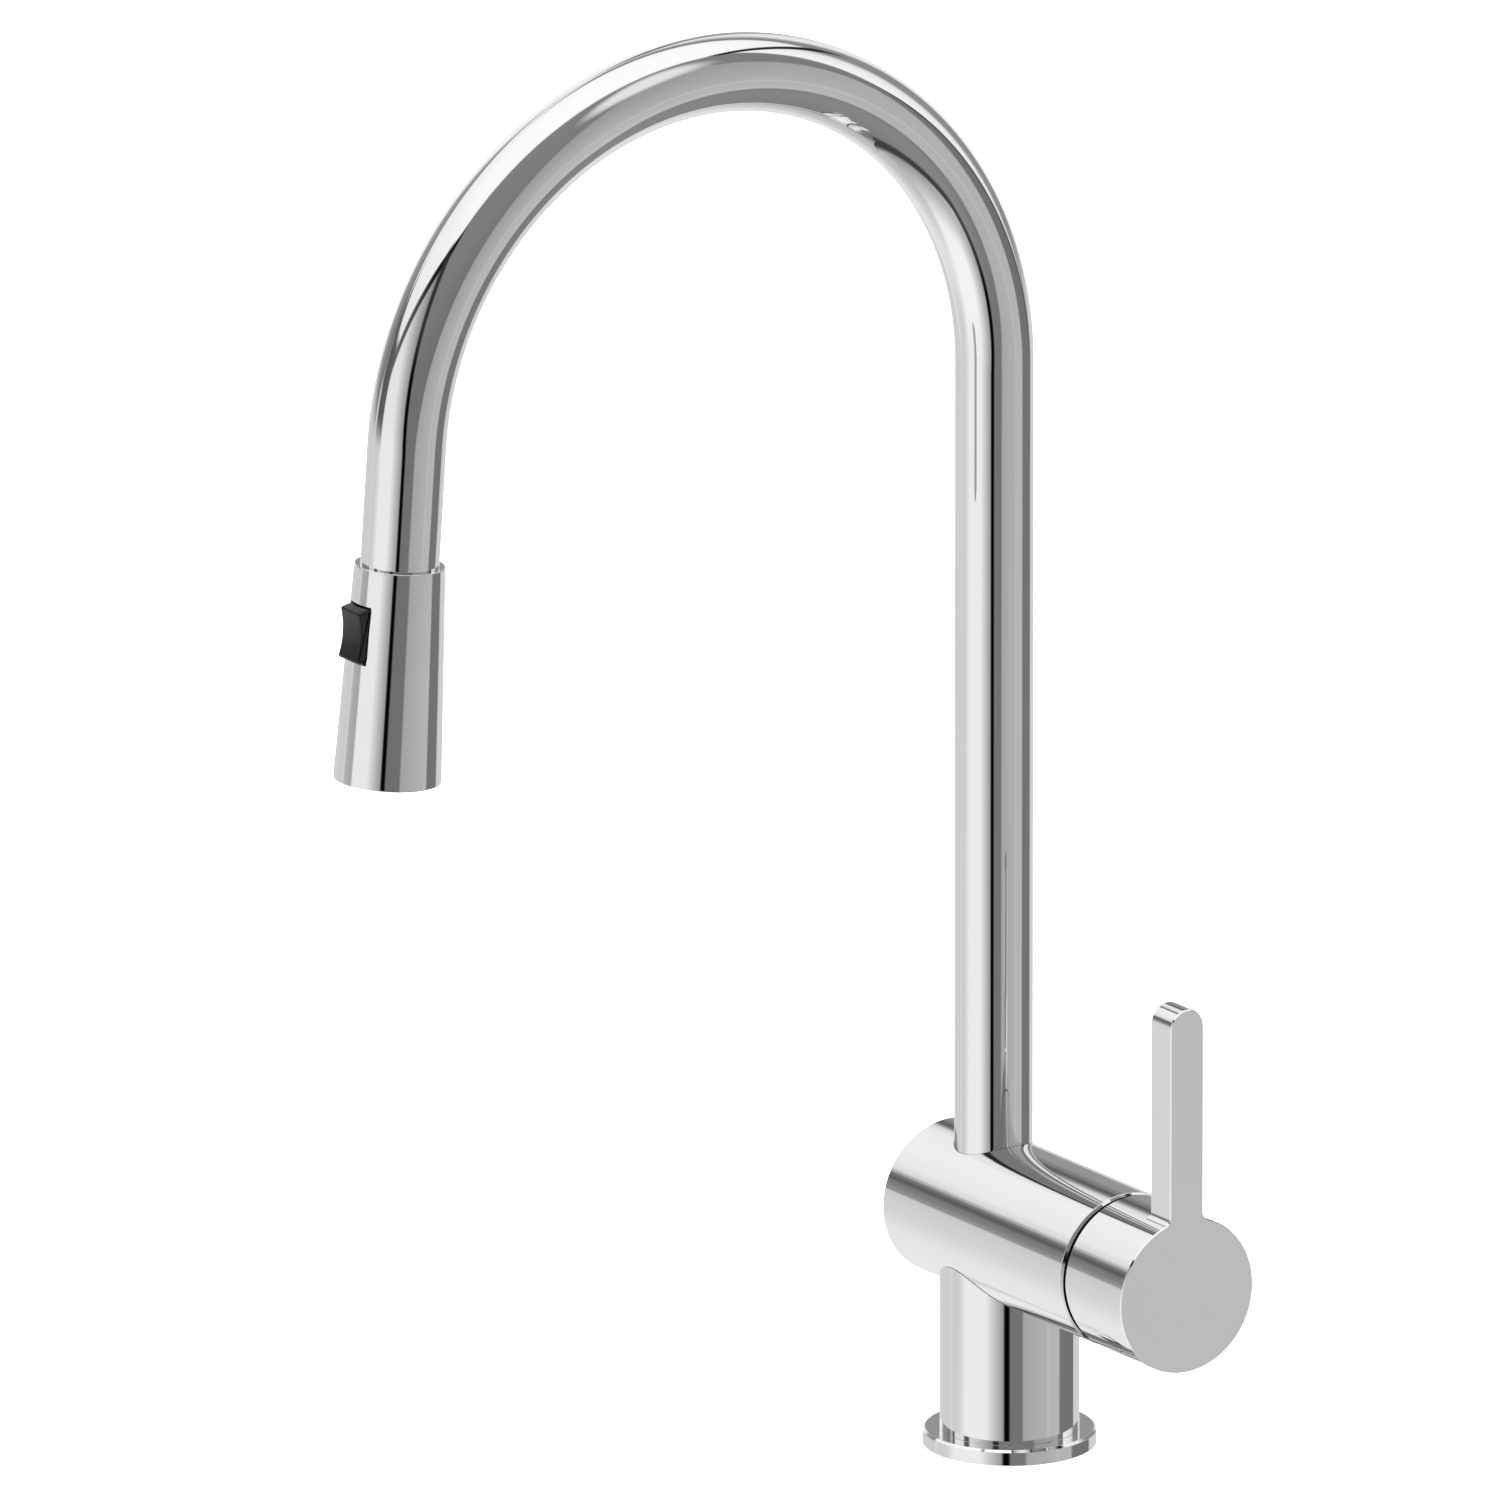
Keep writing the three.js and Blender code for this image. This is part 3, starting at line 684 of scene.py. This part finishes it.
def paint_cards(room):
    """Two small cards, which the handle's front and the lever's side mirror."""
    for across, along, up, card in ((0.799, 0.53, -0.283, 0.715), (-0.799, -0.53, -0.283, 0.82)):
        facing = weighted(room.tree, [(room.x, across), (room.y, along), (room.z, up)])
        room.paint(card, room.step(facing, 0.9982, 0.9994))


def paint_light_bank(room):
    """A long light bank and its dark frame, which only the barrel mirrors."""
    height = weighted(room.tree, [(room.z, 1.0), (room.y, -0.244)])
    bank = room.ramp(height, (0.15, 0.56), (0.27, 0.47), (0.34, 0.35), (0.385, 0.45),
                     (0.41, 0.64), (0.45, 0.84), (0.53, 0.9), (0.75, 0.95), (1.0, 1.0))
    below = room.ramp(room.elevation, (-90, 0.9), (-60, 0.92), (-35, 0.88), (-12, 0.8), (0, 0.77))
    bank = over(room.tree, below, bank, room.step(room.elevation, -1.2, 1.2))
    room.paint(bank, room.joint(1, 0, 0, 0.025, 0.02, 0.799))


def make_studio():
    """Surrounds the faucet with the painted room. The camera sees plain white instead."""
    world = bpy.data.worlds.new("studio")
    bpy.context.scene.world = world
    world.use_nodes = True
    tree = world.node_tree
    tree.nodes.clear()
    room = Room(tree)
    wall_side, reach = lever_wall_side(room), ceiling_side(room)
    paint_front(room, wall_side)
    paint_back_wall(room)
    paint_lever_wall(room, wall_side, reach)
    paint_screen(room)
    paint_window(room)
    paint_ceiling(room, reach)
    paint_joints(room, wall_side)
    paint_cards(room)
    paint_light_bank(room)
    light = calculate(tree, "POWER", room.level, DISPLAY_GAMMA)
    reflected = add_node(tree, "ShaderNodeBackground", {"Color": light, "Strength": STUDIO_STRENGTH})
    seen = add_node(tree, "ShaderNodeBackground", {"Color": (1, 1, 1, 1), "Strength": 1.0})
    camera_ray = add_node(tree, "ShaderNodeLightPath").outputs["Is Camera Ray"]
    mixed = add_node(tree, "ShaderNodeMixShader",
                     {0: camera_ray, 1: reflected.outputs[0], 2: seen.outputs[0]})
    add_node(tree, "ShaderNodeOutputWorld", {"Surface": mixed.outputs[0]})


def make_floor():
    mesh = bpy.data.meshes.new("floor")
    reach = 6
    mesh.from_pydata([(-reach, -reach, 0), (reach, -reach, 0), (reach, reach, 0), (-reach, reach, 0)],
                     [], [(0, 1, 2, 3)])
    floor = new_object("floor", mesh)
    material, tree, shader = new_material("floor")
    shader.inputs["Base Color"].default_value = (0.95, 0.95, 0.95, 1)
    shader.inputs["Roughness"].default_value = 0.9
    shader.inputs["Emission Color"].default_value = (1, 1, 1, 1)
    shader.inputs["Emission Strength"].default_value = 0.75
    mesh.materials.append(material)
    floor.visible_glossy = False


def make_lights():
    data = bpy.data.lights.new("overhead", "AREA")
    data.shape = "SQUARE"
    data.size = 3.0
    data.energy = 130
    light = new_object("overhead", data)
    light.location = (0, 0, 3.0)
    light.visible_glossy = False


bpy.context.scene.view_settings.view_transform = "Standard"
make_camera()
make_studio()
make_floor()
make_lights()


# ---- base ----

def base_flange():
    radius = (flange_high.x - flange_low.x) / 2
    top = flange_high.z
    bore = 17.4 * MM
    runs = outline(
        (bore, 0), (radius, 0, 0.2 * MM), (radius, top - 0.8 * MM, 0.1 * MM),
        (radius - 0.8 * MM, top, 0.1 * MM), (bore, top), (bore, 0))
    return lathe("flange", runs, (0, 0, 0), Z_AXIS)


def base_column():
    """A tube whose top follows the barrel's underside."""
    sides = FINE
    bottom = flange_high.z + 0.02 * MM
    saddle = BARREL_RADIUS + 0.04 * MM
    levels = [(COLUMN_BORE, bottom, 0), (COLUMN_RADIUS - 0.08 * MM, bottom, 0),
              (COLUMN_RADIUS, bottom + 0.08 * MM, 0), (COLUMN_RADIUS, 0, -0.15 * MM),
              (COLUMN_RADIUS - 0.15 * MM, 0, 0), (COLUMN_BORE, 0, 0)]
    vertices, faces = [], []
    for radius, height, lift in levels:
        for k in range(sides):
            turn = 2 * math.pi * k / sides
            x, y = radius * math.cos(turn), radius * math.sin(turn)
            z = height or BARREL_Z - math.sqrt(saddle ** 2 - y ** 2) + lift
            vertices.append((x, y, z))
    for i in range(len(levels)):
        a, b = i * sides, (i + 1) % len(levels) * sides
        for k in range(sides):
            n = (k + 1) % sides
            faces.append([a + k, a + n, b + n, b + k])
    mesh = bpy.data.meshes.new("column")
    mesh.from_pydata(vertices, [], faces)
    smooth_by_angle(mesh)
    column = new_object("column", mesh)
    true_normals(column, lambda p: radial(p, (0, 0, 0), Z_AXIS, COLUMN_RADIUS))
    return column


def radial(point, centre, axis, radius):
    """The outward normal at a point on a cylinder, or nothing if it isn't on it."""
    offset = point - Vector(centre)
    offset = offset - axis * offset.dot(axis)
    return offset.normalized() if abs(offset.length - radius) < 0.05 * MM else None


def barrel_shell():
    rear, front = barrel_low.x, barrel_high.x
    wall = 2.5 * MM
    runs = outline(
        (0, rear), (BARREL_RADIUS, rear, 0.5 * MM), (BARREL_RADIUS, front - BARREL_EDGE, 0.4 * MM),
        (BARREL_RADIUS - BARREL_EDGE, front), (BARREL_BORE, front), (BARREL_BORE, rear + wall),
        (0, rear + wall))
    barrel = lathe("barrel", runs, (0, 0, BARREL_Z), X_AXIS)
    spout_bore = lathe("spout_bore", outline(
        (0, BARREL_Z), (TUBE_RADIUS + SEAM, BARREL_Z), (TUBE_RADIUS + SEAM, BARREL_Z + 2 * BARREL_RADIUS),
        (0, BARREL_Z + 2 * BARREL_RADIUS)), (SPOUT_X, 0, 0), Z_AXIS, MEDIUM)
    column_bore = lathe("column_bore", outline(
        (0, BARREL_Z - 2 * BARREL_RADIUS), (19 * MM, BARREL_Z - 2 * BARREL_RADIUS),
        (19 * MM, BARREL_Z), (0, BARREL_Z)), (0, 0, 0), Z_AXIS, MEDIUM)
    carve(barrel, spout_bore, column_bore)
    true_normals(barrel, lambda p: radial(p, (0, 0, BARREL_Z), X_AXIS, BARREL_RADIUS))
    return barrel


def cover_ring():
    """The black ring round the cartridge, with a thin lip over the barrel's end."""
    front = ring_high.x
    rear = front - 12.9 * MM
    lip = barrel_high.x + 0.02 * MM
    inner, outer, mouth, wall = 21 * MM, 22.4 * MM, 13.6 * MM, 1.3 * MM
    runs = outline(
        (inner, rear), (outer, rear), (outer, lip), (LIP_RADIUS, lip), (LIP_RADIUS, lip + 0.1 * MM),
        (20.4 * MM, lip + 0.1 * MM), (19.6 * MM, front, 0.4 * MM), (mouth, front, 0.4 * MM),
        (mouth, front - wall), (19.2 * MM, front - wall), (inner, front - 3.1 * MM), (inner, rear))
    return lathe("inner_ring", runs, (0, 0, BARREL_Z), X_AXIS)


# ---- handle ----

def lever_edge(steps=16):
    """The handle's outline seen along the barrel, as (across, up) points from the barrel's axis:
    the points on the round cap, then those round the paddle."""
    reach = BARREL_RADIUS + LEVER_FILLET
    fillet_x = LEVER_HALF + LEVER_FILLET
    fillet_y = math.sqrt(reach ** 2 - fillet_x ** 2)
    lean = math.atan2(fillet_y, fillet_x)
    tip = handle_high.z - BARREL_Z - LEVER_HALF
    sweep_angle = 2 * math.pi - (math.pi - 2 * lean)
    cap = []
    for k in range(FINE + 1):
        turn = math.pi - lean + sweep_angle * k / FINE
        cap.append((BARREL_RADIUS * math.cos(turn), BARREL_RADIUS * math.sin(turn)))
    right_fillet = []
    for k in range(1, steps + 1):
        turn = lean + math.pi - lean * k / steps
        right_fillet.append((fillet_x + LEVER_FILLET * math.cos(turn),
                             fillet_y + LEVER_FILLET * math.sin(turn)))
    end = []
    for k in range(2 * steps + 1):
        turn = math.pi * k / (2 * steps)
        end.append((LEVER_HALF * math.cos(turn), tip + LEVER_HALF * math.sin(turn)))
    left_fillet = [(-x, y) for x, y in reversed(right_fillet)]
    return cap, right_fillet + end + left_fillet


def rim_x(up, lift=0.0):
    """Where the cap's rim is along the barrel, at a height from the barrel's axis."""
    return CAP_RIM + max(0.0, -up) * math.tan(CAP_RELIEF) + lift


def outline_ring(mesh, points, x, shrink=0.0):
    """A ring of vertices along the handle's outline, drawn in by shrink."""
    ring = []
    for i, (across, up) in enumerate(points):
        before, after = points[i - 1], points[(i + 1) % len(points)]
        side = Vector((after[0] - before[0], after[1] - before[1])).normalized()
        ring.append(mesh.verts.new((x, across - side.y * shrink, BARREL_Z + up + side.x * shrink)))
    return ring


def cap_inside(mesh, points, lip=0.25 * MM):
    """Rings from the cap's outside over its rim and down its bore. points is the cap's circle."""
    def circle_ring(radius, x_of):
        scale = radius / BARREL_RADIUS
        return [mesh.verts.new((x_of(up * scale), across * scale, BARREL_Z + up * scale))
                for across, up in points]

    return [
        circle_ring(BARREL_RADIUS, lambda up: rim_x(up, lip)),
        circle_ring(BARREL_RADIUS - 0.3 * lip, lambda up: rim_x(up, 0.3 * lip)),
        circle_ring(BARREL_RADIUS - lip, rim_x),
        circle_ring(CAP_BORE, rim_x),
        circle_ring(CAP_BORE, lambda up: CAP_FLOOR),
    ]


def handle_mesh():
    """The cap and its lever as one closed mesh, built in rings along the barrel's axis."""
    cap, paddle = lever_edge()
    loop, on_cap = cap + paddle, len(cap)
    front, back = handle_high.x, handle_high.x - LEVER_THICKNESS
    mesh = bmesh.new()
    rings = [outline_ring(mesh, loop, front, EDGE_INSET), outline_ring(mesh, loop, front - EDGE_DEPTH),
             outline_ring(mesh, loop, back)]
    for one, two in zip(rings, rings[1:]):
        bridge(mesh, one, two)
    mesh.faces.new(rings[0])
    # behind the paddle, the cap's circle is completed
    first, last = cap[0], cap[-1]
    start, end = math.atan2(last[1], last[0]), math.atan2(first[1], first[0])
    steps = 24
    turns = [start + (end - start) * k / steps for k in range(1, steps)]
    crown = [(BARREL_RADIUS * math.cos(turn), BARREL_RADIUS * math.sin(turn)) for turn in turns]
    outer = rings[-1]
    crown_ring = [mesh.verts.new((back, across, BARREL_Z + up)) for across, up in crown]
    paddle_back = [outer[on_cap - 1]] + outer[on_cap:] + [outer[0]]
    mesh.faces.new(paddle_back + list(reversed(crown_ring)))
    circle = outer[:on_cap] + crown_ring
    chain = [circle] + cap_inside(mesh, cap + crown)
    for one, two in zip(chain, chain[1:]):
        bridge(mesh, one, two)
    mesh.faces.new(list(reversed(chain[-1])))
    data = close_mesh("handle_body", mesh)
    smooth_by_angle(data, 24)
    handle = new_object("handle_body", data)
    modifier = handle.modifiers.new("flat faces first", "WEIGHTED_NORMAL")
    modifier.keep_sharp = True
    modifier.weight = 100
    return handle


# ---- spout ----

def gooseneck_path(low, above_head, arc_steps=220):
    """Points up the swivel axis, round the arch and down to above_head over the spray head."""
    points = [Vector((SPOUT_X, 0, low)), Vector((SPOUT_X, 0, ARC_BASE - 1 * MM))]
    centre = Vector((SPOUT_X, -ARC_RADIUS, ARC_BASE))
    for k in range(arc_steps + 1):
        turn = ARC_SWEEP * k / arc_steps
        points.append(centre + Vector((0, math.cos(turn), math.sin(turn))) * ARC_RADIUS)
    points.append(points[-1] - HEAD_UP * 1 * MM)
    points.append(HEAD_TOP + HEAD_UP * above_head)
    return points


def head_radius(drop):
    return HEAD_RADIUS_TOP + (HEAD_RADIUS_BOTTOM - HEAD_RADIUS_TOP) * drop / HEAD_LENGTH


def head_shell():
    hole = 10.5 * MM
    bottom = -HEAD_LENGTH
    inner_bottom = head_radius(HEAD_LENGTH) - HEAD_WALL
    inner_top = head_radius(HEAD_WALL) - HEAD_WALL
    runs = outline(
        (inner_bottom, bottom), (HEAD_RADIUS_BOTTOM, bottom, 0.4 * MM), (HEAD_RADIUS_TOP, 0, 0.3 * MM),
        (hole, 0, 0.2 * MM), (hole, -HEAD_WALL), (inner_top, -HEAD_WALL), (inner_bottom, bottom))
    shell = lathe("head", runs, HEAD_TOP, HEAD_UP)
    reach, height = BUTTON_WIDTH / 2 + 0.3 * MM, BUTTON_HEIGHT / 2 + 0.3 * MM
    window = box_piece("window", (-reach, -12 * MM, -height), (reach, 0.6 * MM, height))
    window.data.transform(Matrix.Translation(ROCKER_PIVOT) @ HEAD_TURN
                          @ Matrix.Rotation(-HEAD_TAPER, 4, "X"))
    carve(shell, window)
    true_normals(shell, head_normal)
    return shell


def head_normal(point):
    """The outward normal of the head's cone, or nothing if the point isn't on it."""
    offset = point - HEAD_TOP
    drop = -offset.dot(HEAD_UP)
    spoke = offset + HEAD_UP * drop
    if abs(spoke.length - head_radius(drop)) > 0.05 * MM:
        return None
    return (spoke.normalized() * math.cos(HEAD_TAPER) + HEAD_UP * math.sin(HEAD_TAPER)).normalized()


def box_piece(name, low, high):
    corners = [(x, y, z) for x in (low[0], high[0]) for y in (low[1], high[1]) for z in (low[2], high[2])]
    faces = [(0, 1, 3, 2), (4, 6, 7, 5), (0, 4, 5, 1), (2, 3, 7, 6), (0, 2, 6, 4), (1, 5, 7, 3)]
    mesh = bpy.data.meshes.new(name)
    mesh.from_pydata(corners, [], faces)
    return new_object(name, mesh)


def rocker_profile(steps=8, rounds=3):
    """The button from the side, as (outward, up) points from its pivot: a dished front between
    two horns. Cutting the corners again and again rounds them."""
    base, crown = BUTTON_HEIGHT / 2, BUTTON_CROWN / 2 + 0.2 * MM
    front = BUTTON_SURFACE + BUTTON_RISE
    radius = (crown ** 2 + BUTTON_DISH ** 2) / (2 * BUTTON_DISH)
    reach = math.asin(crown / radius)
    dish = []
    for k in range(steps + 1):
        turn = reach * (2 * k / steps - 1)
        dish.append(Vector((front - BUTTON_DISH + radius * (1 - math.cos(turn)),
                            radius * math.sin(turn))))
    foot = [Vector((2.2 * MM, -base)), Vector((BUTTON_SURFACE - 0.6 * MM, -base))]
    foot.append(foot[-1].lerp(dish[0], 0.6))
    points = foot + dish + [Vector((p.x, -p.y)) for p in reversed(foot)]
    for _ in range(rounds):
        corners = points
        points = []
        for here, there in zip(corners, corners[1:] + corners[:1]):
            points += [here.lerp(there, 0.25), here.lerp(there, 0.75)]
    return points


def inset(points, amount):
    """A closed outline moved inward."""
    moved = []
    for before, here, after in zip(points[-1:] + points, points, points[1:] + points[:1]):
        along = (after - before).normalized()
        moved.append(here + Vector((-along.y, along.x)) * amount)
    return moved


def rocker_button():
    profile = rocker_profile()
    half = BUTTON_WIDTH / 2
    mesh = bmesh.new()
    rings = []
    turns = [math.pi / 2 * k / 6 for k in range(7)]
    for side, order in ((-1, reversed(turns)), (1, turns)):
        for turn in order:
            across = side * (half - BUTTON_ROUND * (1 - math.sin(turn)))
            points = inset(profile, BUTTON_ROUND * (1 - math.cos(turn)))
            rings.append([mesh.verts.new((across, -p.x, p.y)) for p in points])
    for one, two in zip(rings, rings[1:]):
        bridge(mesh, one, two)
    mesh.faces.new(rings[0])
    mesh.faces.new(rings[-1])
    button = new_object("button", close_mesh("button", mesh))
    peg = box_piece("peg", (-0.8 * MM, 1.7 * MM, -0.8 * MM), (0.8 * MM, 4 * MM, 0.8 * MM))
    hub = lathe("hub", outline((0, -half), (1.9 * MM, -half), (1.9 * MM, half), (0, half)),
                (0, 0, 0), X_AXIS, 32)
    web = box_piece("web", (-half, -2.7 * MM, -2.5 * MM), (half, -1 * MM, 2.5 * MM))
    button = join_pieces("rocker", button, peg, hub, web)
    turn = HEAD_TURN @ Matrix.Rotation(ROCKER_REST - HEAD_TAPER, 4, "X")
    button.data.transform(Matrix.Translation(ROCKER_PIVOT) @ turn)
    return button


def join_pieces(name, *pieces):
    """Makes one object of several."""
    joined = bmesh.new()
    depsgraph = bpy.context.evaluated_depsgraph_get()
    for piece in pieces:
        mesh = bpy.data.meshes.new_from_object(piece.evaluated_get(depsgraph))
        joined.from_mesh(mesh)
    mesh = bpy.data.meshes.new(name)
    bmesh.ops.recalc_face_normals(joined, faces=joined.faces)
    joined.to_mesh(mesh)
    joined.free()
    for piece in pieces:
        bpy.data.objects.remove(piece)
    smooth_by_angle(mesh, 30)
    return new_object(name, mesh)


def head_lathe(name, *corners, at=(0, 0), sides=MEDIUM):
    """Turns (radius, height) corners about a line along the head's axis."""
    return lathe(name, outline(*corners), head_point(at[0], at[1], 0), HEAD_UP, sides)


def nozzle_places():
    """Where the nozzles stand on the spray face."""
    places = []
    for radius, count in NOZZLE_RINGS:
        for k in range(count):
            turn = 2 * math.pi * k / count
            places.append((radius * math.cos(turn), radius * math.sin(turn)))
    return places


def spray_mat():
    rim = 14.9 * MM
    plate = head_lathe("mat", (AERATOR_HOLE, MAT_FACE), (rim, MAT_FACE), (rim, MAT_BACK),
                       (AERATOR_HOLE, MAT_BACK), (AERATOR_HOLE, MAT_FACE))
    nozzles = [
        head_lathe("nozzle", (0.3 * MM, -68.6 * MM), (0.35 * MM, NOZZLE_TIP),
                   (0.62 * MM, NOZZLE_TIP, 0.1 * MM), (0.95 * MM, -67.6 * MM), (1.0 * MM, -63 * MM),
                   (0.3 * MM, -63 * MM), (0.3 * MM, -68.6 * MM), at=place, sides=24)
        for place in nozzle_places()
    ]
    return join_pieces("nozzles", plate, *nozzles)


def spray_plate():
    rim, edge = 15.2 * MM, 0.3 * MM
    plate = head_lathe(
        "plate", (AERATOR_HOLE, PLATE_FACE, edge), (rim, PLATE_FACE, edge), (rim, PLATE_BACK),
        (AERATOR_HOLE, PLATE_BACK), (AERATOR_HOLE, -67.5 * MM))
    holes = [
        head_lathe("hole", (0, -69 * MM), (1.2 * MM, -69 * MM), (1.2 * MM, -63 * MM), (0, -63 * MM),
                   at=place, sides=24)
        for place in nozzle_places()
    ]
    return carve(plate, *holes)


def face_ring():
    return head_lathe(
        "rim", (13.9 * MM, -69.7 * MM, 0.3 * MM), (15.5 * MM, -69.7 * MM, 0.3 * MM),
        (15.5 * MM, -68.2 * MM, 0.2 * MM), (13.9 * MM, -68.2 * MM, 0.2 * MM), (13.9 * MM, -69.4 * MM),
        sides=FINE)


def aerator_housing():
    return head_lathe(
        "aerator", (5.3 * MM, -69.4 * MM, 0.2 * MM), (6.3 * MM, -69.4 * MM, 0.2 * MM),
        (6.3 * MM, -61.1 * MM), (5.3 * MM, -61.1 * MM), (5.3 * MM, -69.2 * MM))


def hose_pieces():
    """The hose in two: what stays in the spout, and the straight end that pulls out."""
    fixed_path = gooseneck_path(hose_low.z, HOSE_SPLIT, arc_steps=90)
    fixed = sweep("hose_in_spout", fixed_path, (HOSE_RADIUS, 0), 32)
    low, high, rows = 5 * MM, HOSE_SPLIT, 220
    path = [HEAD_TOP + HEAD_UP * (high + (low - high) * k / rows) for k in range(rows + 1)]
    pulled = sweep("hose_pulled", path, (HOSE_RADIUS, 0), 32)
    dress(fixed, "spout", "pull_hose")
    dress(pulled, None, "pull_hose")
    start, end = HEAD_TOP + HEAD_UP * (high - 0.5 * MM), HEAD_TOP + HEAD_UP * (low + 0.5 * MM)
    tuple(start)
    tuple(end)
    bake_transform(pulled)


def hide_under_deck():
    """Keeps what reaches below the deck out of the chrome's reflections, as the deck would."""
    for piece in list(bpy.data.objects):
        if piece.type != "MESH":
            continue
        lowest = min((piece.matrix_world @ Vector(corner)).z for corner in piece.bound_box)
        if lowest < -MM:
            piece.visible_glossy = False


def main():
    dress(base_flange(), "base", "base_flange")
    dress(base_column(), "base", "base_column")
    dress(barrel_shell(), "base", "barrel_shell")
    dress(cover_ring(), "base", "cover_ring")
    dress(handle_mesh(), "lever", "handle")
    tube = sweep("gooseneck", gooseneck_path(68 * MM, 0.06 * MM), (TUBE_RADIUS, TUBE_BORE))
    dress(tube, "spout", "spout_tube")
    dress(head_shell(), "spray_head", "head_shell")
    dress(rocker_button(), "rocker", "rocker_button")
    dress(spray_mat(), "spray_head", "nozzle_mat")
    dress(spray_plate(), "spray_head", "spray_plate")
    dress(face_ring(), "spray_head", "face_ring")
    dress(aerator_housing(), "spray_head", "aerator_housing")
    hose_pieces()
    hide_under_deck()


main()
